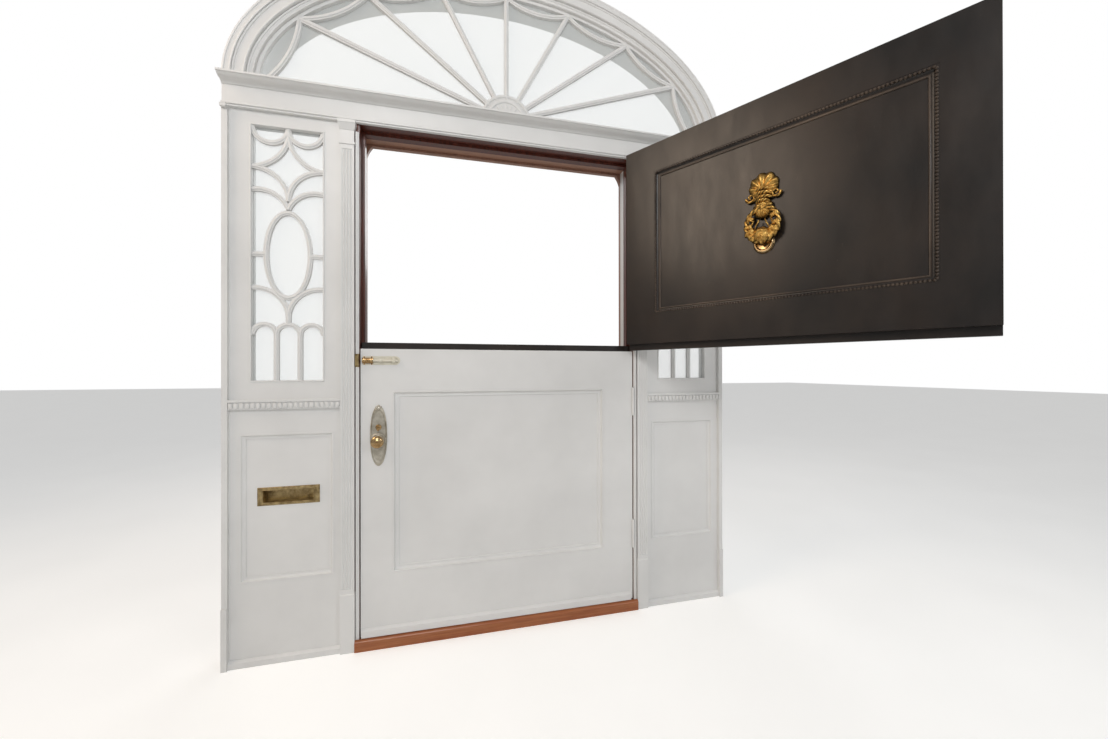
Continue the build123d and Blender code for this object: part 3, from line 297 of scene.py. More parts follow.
def screw_grid(radius, out, turn=0.6, slot=0.16):
    """Domed slotted head: height 0.35 r sqrt(1 - q^2), less the slot where
    |q sin(f - turn)| is under its half width."""
    q = np.linspace(0, 1, 7)[:, None]
    f = full_turn(20)[None]
    height = 0.35 * radius * np.sqrt(np.maximum(1.0 - q ** 2, 0.0)) + 0 * f
    height = np.where(np.abs(q * np.sin(f - turn)) < slot, height * 0.35, height)
    flat = around(radius * q, f, np.cross(UPWARD, out), UPWARD)
    return np.concatenate((flat + height[..., None] * out, flat[::-1] - 0.3 * radius * out))


def put(name, data):
    """Put new data in the scene as an object."""
    item = bpy.data.objects.new(name, data)
    bpy.context.scene.collection.objects.link(item)
    return item


def swung(points):
    """Swing closed-leaf points open about the hinge line: p' = h + R(turn) (p - h)."""
    c, s = math.cos(OPEN_TURN), math.sin(OPEN_TURN)
    return (points - HINGE_LINE) @ np.array(((c, s, 0), (-s, c, 0), (0, 0, 1))) + HINGE_LINE


def make_piece(name, shells, finish, body, slot, nodes=(), open_leaf=False, crease=35.0):
    """Join closed shells in one mesh, merge their poles, face them outwards and hang the piece."""
    starts = np.cumsum([0] + [len(part[0]) for part in shells[:-1]])
    points = np.vstack([part[0] for part in shells])
    faces = np.vstack([part[1] + start for part, start in zip(shells, starts)])
    heights = np.concatenate([part[2] for part in shells])
    if open_leaf:
        points = swung(points)
    mesh = bpy.data.meshes.new(name)
    mesh.from_pydata(points.tolist(), [], faces.tolist())
    layer = mesh.attributes.new("relief", "FLOAT", "POINT")
    layer.data.foreach_set("value", heights.astype(np.float32))
    work = bmesh.new()
    work.from_mesh(mesh)
    bmesh.ops.remove_doubles(work, verts=work.verts, dist=1e-6)
    bmesh.ops.recalc_face_normals(work, faces=work.faces)
    work.to_mesh(mesh)
    work.free()
    mesh.polygons.foreach_set("use_smooth", np.ones(len(mesh.polygons), dtype=bool))
    mesh.set_sharp_from_angle(angle=math.radians(crease))
    mesh.materials.append(bpy.data.materials[finish])
    piece = put(name, mesh)
    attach(piece, body)
    if nodes:
        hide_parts(*nodes)
    return piece


# Finishes


def add_node(tree, kind, settings=None, values=None, links=None):
    """Add one node with its settings, its own values and its incoming links."""
    node = tree.nodes.new("ShaderNode" + kind)
    for key, value in (settings or {}).items():
        setattr(node, key, value)
    for key, value in (values or {}).items():
        node.inputs[key].default_value = value
    for key, source in (links or {}).items():
        tree.links.new(source, node.inputs[key])
    return node


def start_finish(name, values):
    """Start a finish with its shader and the plain values of the shader's sockets."""
    finish = bpy.data.materials.new(name)
    finish.use_nodes = True
    tree = finish.node_tree
    tree.nodes.clear()
    shader = add_node(tree, "BsdfPrincipled", values=values)
    add_node(tree, "OutputMaterial", links={"Surface": shader.outputs["BSDF"]})
    return tree, shader


def marks(tree, size_mm, stretch=(1.0, 1.0, 1.0), detail=3.0, rough=0.55):
    """Give a fine uneven pattern whose marks are about size_mm apart, drawn out by stretch."""
    where = add_node(tree, "TexCoord")
    scale = tuple(1000.0 / size_mm / s for s in stretch)
    place = add_node(tree, "Mapping", values={"Scale": scale}, links={"Vector": where.outputs["Object"]})
    noise = add_node(tree, "TexNoise",
                     values={"Scale": 1.0, "Detail": detail, "Roughness": rough},
                     links={"Vector": place.outputs["Vector"]})
    return noise.outputs["Fac"]


def blend_by(tree, factor, low, high, first, second):
    """Mix two colours, given as hex or as a socket, as factor goes from low to high."""
    band = add_node(tree, "MapRange", values={"From Min": low, "From Max": high}, links={"Value": factor})
    mix = add_node(tree, "Mix", {"data_type": "RGBA"}, links={0: band.outputs["Result"]})
    for socket, colour in ((6, first), (7, second)):
        if isinstance(colour, str):
            mix.inputs[socket].default_value = linear(colour)
        else:
            tree.links.new(colour, mix.inputs[socket])
    return mix.outputs[2]


def bump_with(tree, shader, height, depth_mm, strength):
    """Raise the surface by a pattern whose full depth is depth_mm."""
    relief = add_node(tree, "Bump",
                      values={"Distance": depth_mm * MM, "Strength": strength},
                      links={"Height": height})
    tree.links.new(relief.outputs["Normal"], shader.inputs["Normal"])


def vary_roughness(tree, shader, factor, low, high):
    """Let the roughness drift between two values."""
    drift = add_node(tree, "MapRange",
                     values={"From Min": 0.3, "From Max": 0.7, "To Min": low, "To Max": high},
                     links={"Value": factor})
    tree.links.new(drift.outputs["Result"], shader.inputs["Roughness"])


def facing(tree, direction):
    """Say how far a face looks along a direction fixed to the piece."""
    where = add_node(tree, "TexCoord")
    along = add_node(tree, "VectorMath", {"operation": "DOT_PRODUCT"}, {1: direction},
                     {0: where.outputs["Normal"]})
    return along.outputs["Value"]


def white_paint(name, shade, worn, outside=None, weather=None):
    """Satin alkyd paint laid off with a brush: faint strokes along the grain, a shade greyer in
    places, and another colour on outward faces or beyond the weather rebate where given."""
    tree, shader = start_finish(name, {"Roughness": 0.36, "IOR": 1.5})
    cloud = marks(tree, 420.0, detail=4.0)
    colour = blend_by(tree, cloud, 0.35, 0.7, shade, worn)
    if outside:
        colour = blend_by(tree, facing(tree, WEATHER_SIDE), 0.25, 0.3, colour, outside)
    if weather:
        where = add_node(tree, "TexCoord")
        place = add_node(tree, "SeparateXYZ", links={0: where.outputs["Object"]})
        colour = blend_by(tree, place.outputs["Y"], WEATHER_LINE, WEATHER_LINE + 0.2 * MM, colour, weather)
    tree.links.new(colour, shader.inputs["Base Color"])
    vary_roughness(tree, shader, marks(tree, 90.0), 0.3, 0.42)
    bump_with(tree, shader, marks(tree, 2.4, (1.0, 1.0, 14.0)), 0.1, 0.16)


def black_paint(name, shade, lit, inside=None):
    """Semi-gloss exterior paint over open-grained wood: nearly black, with broad brown patches painted in
    at random as a warm reflection, fine upright grain, a few pale scuffs, and another colour on the open
    leaf's room side."""
    tree, shader = start_finish(name, {"IOR": 1.5, "Specular IOR Level": 0.42, "Coat Weight": 0.15,
                                       "Coat Roughness": 0.2})
    cloud = marks(tree, 260.0, (1.0, 1.0, 1.4), detail=5.0)
    # Painted reflection: broad brown patches of the lit colour, laid at random over the black
    colour = blend_by(tree, cloud, 0.35, 0.7, shade, lit)
    scuffs = marks(tree, 14.0, (1.0, 1.0, 3.5), detail=6.0, rough=0.7)
    colour = blend_by(tree, scuffs, 0.68, 0.78, colour, "#4A3F37")
    if inside:
        colour = blend_by(tree, facing(tree, OPEN_ROOM_SIDE), 0.25, 0.3, colour, inside)
    tree.links.new(colour, shader.inputs["Base Color"])
    vary_roughness(tree, shader, marks(tree, 60.0, (1.0, 1.0, 3.0), detail=5.0), 0.28, 0.4)
    bump_with(tree, shader, marks(tree, 1.8, (1.0, 1.0, 24.0)), 0.12, 0.4)


def varnished_wood(name, dark, light, grain_axis, gloss):
    """Planed hardwood under varnish: grain lines drawn out along the board, with pores."""
    tree, shader = start_finish(name, {"Roughness": gloss, "IOR": 1.5, "Coat Weight": 0.3,
                                       "Coat Roughness": 0.15})
    stretch = tuple(30.0 if axis == grain_axis else 1.0 for axis in "xyz")
    grain = marks(tree, 7.0, stretch, detail=6.0, rough=0.65)
    tree.links.new(blend_by(tree, grain, 0.35, 0.68, dark, light), shader.inputs["Base Color"])
    bump_with(tree, shader, marks(tree, 1.5, stretch, detail=2.0), 0.1, 0.3)


def worn_metal(name, bright, dull, rough, patch_mm=26.0, cavity=None):
    """Cast or pressed metal handled for years: duller in patches, dark in a casting's hollows."""
    tree, shader = start_finish(name, {"Metallic": 1.0})
    patches = marks(tree, patch_mm, detail=6.0, rough=0.6)
    colour = blend_by(tree, patches, 0.38, 0.66, bright, dull)
    if cavity:
        depth = add_node(tree, "Attribute", {"attribute_name": "relief"})
        uneven = add_node(tree, "Math", {"operation": "MULTIPLY_ADD"}, {1: 0.5},
                          {0: marks(tree, 5.0, detail=4.0), 2: depth.outputs["Fac"]})
        colour = blend_by(tree, uneven.outputs["Value"], 0.35, 0.95, cavity, colour)
    tree.links.new(colour, shader.inputs["Base Color"])
    vary_roughness(tree, shader, patches, rough, rough + 0.16)
    bump_with(tree, shader, marks(tree, 3.0, detail=5.0), 0.15, 0.35)


def clear_glass(name):
    """Drawn window glass: clear, with a breath of green and a very slow wave in its faces."""
    tree, shader = start_finish(name, {"Roughness": 0.0, "IOR": 1.5, "Transmission Weight": 1.0,
                                       "Base Color": linear("#F1F7F4")})
    bump_with(tree, shader, marks(tree, 160.0, detail=1.0), 0.3, 0.1)


class DoorFinishes(PropertyGroup):
    """Colours of the finishes, as sRGB hex values."""

    white: StringProperty(name="White paint", description="Satin paint of the joinery", default="#E4E4E3")
    white_worn: StringProperty(name="Worn white", description="Where the paint has greyed",
                               default="#D9D9D8")
    black: StringProperty(name="Black paint", description="Paint of the leaves' weather side",
                          default="#14100E")
    # Brown that is painted on the black paint as a warm reflection
    black_painted_reflection: StringProperty(name="Black with painted reflection", description="Brown patches painted in as a warm reflection",
                              default="#2C221B")
    jamb: StringProperty(name="Jamb stain", description="Dark stain of the jambs", default="#3B170D")
    nosing: StringProperty(name="Nosing varnish", description="Varnished nosing of the sill",
                           default="#A8683C")
    casing: StringProperty(name="Casing paint", description="Paint of the weather casing",
                           default="#A47A66")
    brass: StringProperty(name="Brass", description="Polished brass of the knob", default="#CDB084")
    nickel: StringProperty(name="Nickel", description="Worn plating of the lock plates", default="#CBC6BA")
    cast_brass: StringProperty(name="Cast brass", description="Rubbed brass of the knocker",
                               default="#E2B768")


class DoorSizes(PropertyGroup):
    """Sizes of the added detail."""

    bead_pitch: FloatProperty(name="Bead pitch", description="Spacing of the panel's beads",
                              default=0.0106, min=0.004, unit="LENGTH")
    ridge_width: FloatProperty(name="Bar ridge", description="Width of the glazing bars' ridge",
                               default=0.0095, min=0.003, unit="LENGTH")
    ridge_height: FloatProperty(name="Ridge height", description="How far the ridge stands out",
                                default=0.0035, min=0.001, unit="LENGTH")
    screw_radius: FloatProperty(name="Screw head", description="Radius of the screw heads",
                                default=0.004, min=0.002, unit="LENGTH")


class StageSettings(PropertyGroup):
    """Camera, floor and lamps."""

    lens: FloatProperty(name="Lens", description="Focal length in millimetres", default=13.565, min=5.0)
    stand: FloatVectorProperty(name="Camera place", description="Where the camera stands",
                               default=(-0.2528, -1.8753, 1.1536), subtype="XYZ", unit="LENGTH")
    key_power: FloatProperty(name="Key lamp", description="Power of the large soft lamp", default=84.0)
    fill_power: FloatProperty(name="Fill lamps", description="Power of the two weaker lamps", default=30.0)
    side_power: FloatProperty(name="Side lamp", description="Power of the warm lamp at the side",
                              default=46.0)
    floor_glow: FloatProperty(name="Floor glow", description="How far the floor is lifted", default=0.32)
    sky: FloatProperty(name="Surround", description="Level of the even light all round", default=0.32)


class STABLE_OT_finishes(Operator):
    """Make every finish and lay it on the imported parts"""

    bl_idname = "stable_door.finishes"
    bl_label = "Finishes"

    def execute(self, context):
        colours = context.scene.stable_finishes
        white = (colours.white, colours.white_worn)
        # The second colour is the brown painted in on the black as a reflection
        black = (colours.black, colours.black_painted_reflection)
        white_paint("satin_white_paint", *white)
        white_paint("white_leaf_paint", *white, outside=colours.black)
        black_paint("black_leaf_paint", *black, inside=colours.white)
        black_paint("black_lip_paint", *black)
        # The beads' lighter browns are a painted highlight, so that they stand out from the black
        black_paint("worn_bead_paint", "#2A211B", "#584A3E")
        white_paint("white_post_paint", *white, weather=colours.casing)
        white_paint("cream_bolt_enamel", "#DEDACB", "#CFC9B6")
        varnished_wood("stained_jamb_wood", colours.jamb, "#6A3020", "z", 0.34)
        varnished_wood("varnished_nosing_wood", "#8E4A22", colours.nosing, "x", 0.3)
        varnished_wood("dark_sill_wood", "#3A1C0E", "#5E331B", "x", 0.36)
        varnished_wood("weathered_casing_paint", "#8A6656", colours.casing, "z", 0.5)
        worn_metal("polished_knob_brass", colours.brass, "#94744A", 0.16)
        worn_metal("aged_plate_brass", "#BBA67A", "#7E6C4C", 0.34)
        worn_metal("worn_nickel_plate", colours.nickel, "#ABA597", 0.36)
        worn_metal("antique_cast_brass", colours.cast_brass, "#AC8040", 0.3, 12.0, "#2A1E0E")
        worn_metal("bright_case_steel", "#B9B9B6", "#8E8C86", 0.3)
        clear_glass("window_glass")
        chosen = {node: finish for finish, nodes in NODE_FINISHES.items() for node in nodes}
        for name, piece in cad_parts.items():
            finish = bpy.data.materials[chosen.get(name, "satin_white_paint")]
            if not piece.material_slots:
                piece.data.materials.append(finish)
            for material_slot in piece.material_slots:
                material_slot.material = finish
        return {"FINISHED"}


# Sidelights and fanlight

# Finish, body and slot of the joinery that is fixed to the frame
WHITE_FRAME = ("satin_white_paint", "frame", "white_paint")
OVAL_DROP = -0.505
OVAL_HALF = (0.079, 0.170)
ARCH_SPRING = -825.0 * MM
ARCH_CROWN = -782.0 * MM


def tracery_paths():
    """Centre lines of one sidelight's bars, across and down from the top of the light."""
    lines = [arc((-POST_LINE, ARCH_SPRING), (0, ARCH_CROWN), (POST_LINE, ARCH_SPRING))]
    for hand in (-1, 1):
        edge = hand * HALF_LIGHT
        post = hand * POST_LINE
        bow = edge * 0.29
        lines += [
            arc((edge, 0), (edge / 2, -0.060), (0, 0)),
            arc((0, 0), (bow, -0.113), (edge, -0.160)),
            arc((edge, -0.160), (bow, -0.198), (0, -0.290)),
            arc((edge, -0.250), (bow, -0.271), (0, -0.322)),
            arc((edge, -0.638), (bow, -0.670), (0, -0.746)),
            arc((edge, ARCH_SPRING), (post * 2, ARCH_CROWN), (post, ARCH_SPRING)),
            np.array(((edge, OVAL_DROP), (hand * OVAL_HALF[0], OVAL_DROP))),
            np.array(((post, ARCH_SPRING), (post, LIGHT_DROP))),
        ]
    return lines + [np.array(((0, -0.734), (0, -0.782)))]


class STABLE_OT_tracery(Operator):
    """Run the moulded ridge along the bars of both sidelights"""

    bl_idname = "stable_door.tracery"
    bl_label = "Sidelight tracery"

    def execute(self, context):
        sizes = context.scene.stable_sizes
        ridge_sizes = (sizes.ridge_width, sizes.ridge_height)
        turn = full_turn(48)
        oval = joined(OVAL_HALF[0] * np.cos(turn), OVAL_DROP + OVAL_HALF[1] * np.sin(turn))
        lap = 3 * MM
        half = HALF_LIGHT + lap
        rim = rectangle(-half, half, lap, LIGHT_DROP - lap)
        for side_name, side in (("left", -1), ("right", 1)):
            origin = (side * LIGHT_CENTRE, LIGHT_TOP)
            shells = [moulding(line, LIGHT_FRONT, *ridge_sizes, origin) for line in tracery_paths()]
            shells.append(moulding(oval, LIGHT_FRONT, *ridge_sizes, origin, closed=True))
            shells.append(moulding(rim, 0.0, 6 * MM, 3 * MM, origin, closed=True))
            make_piece(f"tracery_ridges_{side_name}", shells, *WHITE_FRAME)
        return {"FINISHED"}


RAY_START = 0.094
SWAG_BOW = 0.034
HUB_FRONT = FAN_FRONT - 6 * MM
# Radius, width and front of the hub's rings
HUB_RINGS = ((0.106, 0.012, FAN_FRONT), (0.080, 0.014, HUB_FRONT), (0.040, 0.018, HUB_FRONT))
# Inset from the arch's outline, width, height and front of the casing's beads, in millimetres
CASING_BEADS = ((5, 8, 3, -18), (27, 7, 3, -18), (34, 9, 5, -11), (71, 8, 4, -11),
                (80, 9, 4, 0), (97, 7, 4, 0))


def ray_tips():
    """Where rays at the set angles meet the fan's sash ring: 1 / sqrt((sin/a)^2 + (cos/b)^2)."""
    headings = joined(np.sin(RAY_ANGLES), np.cos(RAY_ANGLES))
    reach = 1 / np.sqrt(((headings / (FAN_GLASS - SASH_RING)) ** 2).sum(axis=1))
    return headings * reach[:, None]


def hub_petals(origin):
    """Nine short ridges between the hub's rings, each swelling as sin t along its length."""
    swell = np.sin(np.linspace(0.15, math.pi - 0.15, 7))
    petals = []
    for turn in np.radians(np.linspace(12, 168, 9)):
        heading = np.array((math.cos(turn), math.sin(turn)))
        line = np.linspace(heading * 0.048, heading * 0.072, 7)
        petals.append(moulding(line, HUB_FRONT, 0.009, 3 * MM, origin, taper=swell))
    return petals


class STABLE_OT_fanlight(Operator):
    """Run the moulded ridges along the fanlight's rays, swags, hub and arch"""

    bl_idname = "stable_door.fanlight"
    bl_label = "Fanlight"

    def execute(self, context):
        sizes = context.scene.stable_sizes
        width, height = sizes.ridge_width, sizes.ridge_height
        base = (0.0, FAN_START)
        tips = ray_tips()
        shells = []
        for tip in tips[1:-1]:
            line = np.array((tip / np.linalg.norm(tip) * RAY_START, tip))
            shells.append(moulding(line, FAN_FRONT, width, height, base))
        for first, second in zip(tips, tips[1:]):
            middle = (first + second) / 2
            bow = middle - middle / np.linalg.norm(middle) * SWAG_BOW
            shells.append(moulding(arc(first, bow, second, 25), FAN_FRONT, width * 0.85, height, base))
        for radius, thick, front in HUB_RINGS:
            shells.append(moulding(half_oval((radius, radius), 49), front, thick, 4 * MM, base))
        make_piece("fan_bar_ridges", shells + hub_petals(base), *WHITE_FRAME)
        beads = [moulding(half_oval(FAN_OUTER - inset * MM), front * MM, wide * MM, high * MM, base)
                 for inset, wide, high, front in CASING_BEADS]
        make_piece("fan_casing_beads", beads, *WHITE_FRAME)
        return {"FINISHED"}


# Beads, eggs and letter plate

BEAD_INSET = 6.5 * MM
FILLET_INSET = 21.5 * MM
EGG_COUNT = 21
# Inset, width, height and depth of the lower panel's room-side beads, in millimetres
ROOM_BEADS = ((3.2, 6.0, 2.2, 1.2), (21.0, 9.0, 4.0, 14.5))
# Half length, half height, width and ridge of the letter plate's rims, in millimetres
LETTER_RIMS = ((105.0, 30.0, 7.0, 2.2), (92.5, 26.0, 5.0, 3.0))
LETTER_SCREWS = rectangle(-101, 101, -28, 28) * MM


def along_ring(corners, pitch):
    """Even points round a ring of corners, one pitch apart, half a pitch from each corner."""
    sides = []
    for start, end in zip(corners, np.roll(corners, -1, axis=0)):
        count = int(np.linalg.norm(end - start) // pitch)
        sides.append(start + (end - start) * ((np.arange(count) + 0.5) / count)[:, None])
    return np.vstack(sides)


class STABLE_OT_beading(Operator):
    """String the beads round both leaves' panels and set the eggs of the dentil rails"""

    bl_idname = "stable_door.beading"
    bl_label = "Beading"

    def execute(self, context):
        pitch = context.scene.stable_sizes.bead_pitch
        string = along_ring(panel_ring(UPPER_PANEL, BEAD_INSET), pitch)
        half = pitch * 0.49
        beads = stamp(ball((half, 5.4 * MM, half)), in_plane(string, PANEL_OUT + 12.5 * MM))
        fillet = moulding(panel_ring(UPPER_PANEL, FILLET_INSET), PANEL_OUT + 0.4 * MM, 9 * MM,
                          5 * MM, out=DEEP, closed=True)
        # Bead string and fillet take the brown paint with the painted highlight
        make_piece("panel_bead_string", [beads, fillet], "worn_bead_paint", "upper_leaf",
                   "black_paint", open_leaf=True)
        room = [moulding(panel_ring(LOWER_PANEL, inset * MM), depth * MM, width * MM, height * MM,
                         closed=True) for inset, width, height, depth in ROOM_BEADS]
        make_piece("lower_panel_beads", room, "satin_white_paint", "lower_leaf", "white_paint")
        low, high = DENTIL_RUN
        steps = low + (high - low) * (np.arange(EGG_COUNT) + 0.5) / EGG_COUNT
        places = joined(np.concatenate((-steps, steps)), DENTIL_Z)
        egg = ball((7.6 * MM, 7.4 * MM, 12.0 * MM), power=3.2, rows=9, columns=12)
        make_piece("dentil_eggs", [stamp(egg, in_plane(places, DENTIL_FRONT))], *WHITE_FRAME)
        return {"FINISHED"}


class STABLE_OT_letter_plate(Operator):
    """Raise the rim of the letter plate and set its corner screws"""

    bl_idname = "stable_door.letter_plate"
    bl_label = "Letter plate"

    def execute(self, context):
        sizes = context.scene.stable_sizes
        shells = [moulding(rectangle(-half_x, half_x, -half_z, half_z) * MM, LETTER_FRONT,
                           width * MM, height * MM, LETTER, closed=True)
                  for half_x, half_z, width, height in LETTER_RIMS]
        spots = in_plane(LETTER_SCREWS, LETTER_FRONT, LETTER)
        shells.append(stamp(screw_grid(sizes.screw_radius, -DEEP), spots))
        make_piece("letter_plate_rim", shells, "aged_plate_brass", "frame", "polished_brass")
        return {"FINISHED"}


# Lock and surface bolt, with turned profiles as (radius, way along the axis) in millimetres

KNOB_PROFILE = ((0, 9.4), (17, 9.4), (18, 11), (13, 14), (9.5, 19), (8.6, 25), (10, 29.5),
                (16, 31.5), (23, 35), (25.5, 41), (24, 47), (18.5, 51.5), (14.5, 52.4),
                (13.5, 51.8), (7, 54.3), (0, 55))
COLLAR_PROFILE = ((0, 3.4), (11.2, 3.4), (11.4, 5), (8.5, 7), (5.5, 8), (5.0, 11), (0, 12))
ROSE_PROFILE = ((0, 3), (30.5, 3), (31, 7), (29, 9.2), (25, 9.2), (23.5, 8.2), (21, 9.3), (0, 9.3))
ROD_PROFILE = ((0, 0), (3.5, 0), (5, 1.5), (5, 60), (5, 110), (5, 137), (3.5, 138.5), (0, 138.5))
GRIP_PROFILE = ((0, 0), (3.6, 0), (3.2, 5), (4.2, 8), (7.2, 12), (6.4, 16.5), (0, 18.5))
PLATE_HALF = np.array((33.0, 127.0)) * MM
PLATE_POWER = 2.15
RIM_BEADS = 104
PLATE_SCREW = 108
# Across and up from the plate's middle to the knobs of its crown, in millimetres
CROWN_KNOBS = ((-9, 119), (0, 124), (9, 119), (-4.5, 114), (4.5, 114))
BOLT_PLATE_HALF = 18.0 * MM
# Scale and height in millimetres of the pressed steps of the bolt's plate
BOLT_PLATE_STEPS = ((0.0, 0.0), (1.0, 0.0), (1.0, 2.2), (0.97, 3.0), (0.90, 3.0), (0.88, 2.4), (0.0, 2.4))
# Way along the plate from its left and right ends, and up from its middle, in millimetres
BRASS_SCREWS = ((6, 15), (6, -15), (35, 15), (35, -15))
ENAMEL_SCREWS = ((-9, 0), (-62, 12), (-62, -12))


def plate_outline(f):
    """Full oval of the lock plate: R(f) = (|cos f / a|^p + |sin f / b|^p)^(-1/p)."""
    across, up = np.abs(np.cos(f)) / PLATE_HALF[0], np.abs(np.sin(f)) / PLATE_HALF[1]
    return (across ** PLATE_POWER + up ** PLATE_POWER) ** (-1 / PLATE_POWER)


def plate_relief(r, f):
    """Pressed face: 3.2 + 0.9 (1 - r^2) mm, a rim at 0.9, a groove at 0.81 and a rolled edge."""
    rim = 1.8 * np.exp(-((r - 0.9) / 0.035) ** 2) - 0.9 * np.exp(-((r - 0.81) / 0.04) ** 2) + 0 * f
    return (3.2 + 0.9 * (1 - r ** 2) + rim) * np.sqrt(1 - 0.94 * r ** 30) * MM


def evenly_round(outline, count):
    """Even points along a closed outline R(f), found by its running length."""
    f = np.linspace(0, 2 * math.pi, 721)
    edge = outline(f)[:, None] * joined(np.cos(f), np.sin(f))
    run = np.concatenate(((0,), np.cumsum(np.linalg.norm(np.diff(edge, axis=0), axis=1))))
    even = np.linspace(0, run[-1], count, endpoint=False)
    return joined(*[np.interp(even, run, edge[:, k]) for k in (0, 1)])


def plate_fittings(face, out, screw_radius):
    """Beaded rim, two screws, crown and knob rose of one lock plate."""
    front = face + out[1] * 3.0 * MM
    middle = (LOCK_X, PLATE_Z)
    string = evenly_round(plate_outline, RIM_BEADS) * 0.972
    bead = ball((2.2 * MM,) * 3, rows=5, columns=8)
    screws = np.array(((0, -PLATE_SCREW), (0, PLATE_SCREW))) * MM
    crown = np.array(CROWN_KNOBS) * MM
    return [stamp(bead, in_plane(string, front, middle)),
            stamp(screw_grid(screw_radius, out),
                  in_plane(screws, front + out[1] * 0.4 * MM, middle)),
            stamp(ball((4.2 * MM, 3.4 * MM, 4.2 * MM)), in_plane(crown, front, middle)),
            lathe(ROSE_PROFILE, (LOCK_X, face, KNOB_Z), out)]


class STABLE_OT_lock(Operator):
    """Turn the knobs and thumb-turn and press the lock's oval plates with their beaded rims"""

    bl_idname = "stable_door.lock"
    bl_label = "Lock furniture"

    def execute(self, context):
        sizes = context.scene.stable_sizes
        faces = ((0.0, -DEEP), (LEAF_THICKNESS, DEEP))
        knobs = [lathe(KNOB_PROFILE, (LOCK_X, face, KNOB_Z), out) for face, out in faces]
        make_piece("turned_knobs", knobs, "polished_knob_brass", "knob", "polished_brass", ("knob",))
        collar = lathe(COLLAR_PROFILE, (LOCK_X, 0, TURN_Z), -DEEP)
        wing = ball((6.6 * MM, 6.5 * MM, 13.6 * MM), power=2.3, rows=15, columns=24)
        grip = stamp(wing, np.array(((LOCK_X, -16.5 * MM, TURN_Z),)))
        make_piece("thumb_turn_wing", [collar, grip], "polished_knob_brass", "thumb_turn",
                   "polished_brass", ("thumb_turn",))
        plates, fittings = [], []
        for face, out in faces:
            centre = np.array((LOCK_X, face, PLATE_Z))
            plates.append(carved(centre, np.cross(UPWARD, out), UPWARD, out, plate_outline,
                                 plate_relief, 40, 120))
            fittings += plate_fittings(face, out, sizes.screw_radius)
        make_piece("oval_lock_plates", plates + fittings, "worn_nickel_plate", "lower_leaf",
                   "aged_nickel", ("lock_plates",))
        return {"FINISHED"}


def bolt_plate():
    """Plate with one round end, pressed in steps: outline scaled about the middle at each."""
    turn = np.linspace(-math.pi / 2, math.pi / 2, 17)
    half = BOLT_PLATE_HALF
    end = joined(BOLT_RIGHT - half + half * np.cos(turn), BOLT_Z + half * np.sin(turn))
    outline = np.vstack(((BOLT_LEFT, BOLT_Z - half), end, (BOLT_LEFT, BOLT_Z + half)))
    middle = np.array(((BOLT_LEFT + BOLT_RIGHT) / 2, BOLT_Z))
    return shell(np.array([in_plane(middle + (outline - middle) * scale, -height * MM)
                           for scale, height in BOLT_PLATE_STEPS]))


def bolt_guide(low, high, ribs):
    """Arched guide (12.5 cos t, 17 sin(t)^0.7) mm, swelled by 1 + 0.05 cos along its ribs, over
    a round bore of 6 mm, with strips that close its ends."""
    t = np.linspace(0, math.pi, 21)
    s = np.linspace(low, high, 6 * ribs + 1)[:, None]
    swell = 1 + 0.05 * np.cos((s - low) / (high - low) * ribs * 2 * math.pi)
    rise = 17.0 * MM * np.sin(t) ** 0.7
    bore = -BOLT_AXIS + 6.0 * MM * np.sin(t)
    bore[[0, -1]] = -0.2 * MM
    outer = joined(s, -rise * swell, BOLT_Z + 12.5 * MM * np.cos(t) * swell)
    inner = joined(s, -bore, BOLT_Z + 6.0 * MM * np.cos(t))
    points, faces, heights = shell(np.concatenate((outer, inner[:, ::-1]), axis=1))
    count = len(t)
    index = np.arange(2 * count)
    back = index[::-1]
    strip = joined(index[:count - 1], index[1:count], back[1:count], back[:count - 1])
    far_end = (len(s) - 1) * 2 * count
    return points, np.vstack((faces, strip, strip[:, ::-1] + far_end)), heights


def bolt_screws(end, places, radius):
    """Screw heads at places measured from one end of the bolt's plate."""
    spots = in_plane(np.array(places) * MM, -3 * MM, (end, BOLT_Z))
    return stamp(screw_grid(radius, -DEEP), spots)


class STABLE_OT_bolts(Operator):
    """Dress the surface bolt: enamelled plate and rod, ribbed guides and screws"""

    bl_idname = "stable_door.bolts"
    bl_label = "Surface bolt"

    def execute(self, context):
        head = context.scene.stable_sizes.screw_radius * 0.7
        make_piece("bolt_backplate", [bolt_plate()], "cream_bolt_enamel", "lower_leaf",
                   "aged_nickel", ("bolt_plate",))
        rod = lathe(ROD_PROFILE, (BOLT_LEFT - 0.5 * MM, BOLT_AXIS, BOLT_Z), ACROSS, 24, 4)
        handle = lathe(GRIP_PROFILE, (BOLT_KNOB_X, BOLT_AXIS, BOLT_Z), -DEEP, 32)
        make_piece("bolt_rod", [rod, handle], "cream_bolt_enamel", "surface_bolt", "aged_nickel",
                   ("surface_bolt",))
        brass = [bolt_guide(BOLT_LEFT, BOLT_LEFT + 41 * MM, 5), bolt_screws(BOLT_LEFT, BRASS_SCREWS, head)]
        make_piece("bolt_guide_brass", brass, "polished_knob_brass", "lower_leaf", "polished_brass")
        enamel = [bolt_guide(BOLT_RIGHT - 30 * MM, BOLT_RIGHT - 18 * MM, 2),
                  bolt_screws(BOLT_RIGHT, ENAMEL_SCREWS, head)]
        make_piece("bolt_guide_enamelled", enamel, "cream_bolt_enamel", "lower_leaf", "aged_nickel")
        return {"FINISHED"}


# Knocker, in millimetres from its pivot, with carved heights in metres

BUTTON_PROFILE = ((0, 0), (35, 0), (35.5, 6), (33, 10.5), (28, 11.5), (22, 8.5), (0, 8))
# Height, half width, radius and stand-off of the rolls below the crest
BROW_ROLLS = ((66, 33, 6.0, 22), (51, 30, 7.0, 24), (36, 34, 7.5, 21), (22, 26, 6.5, 26))
WREATH_HUB = -67
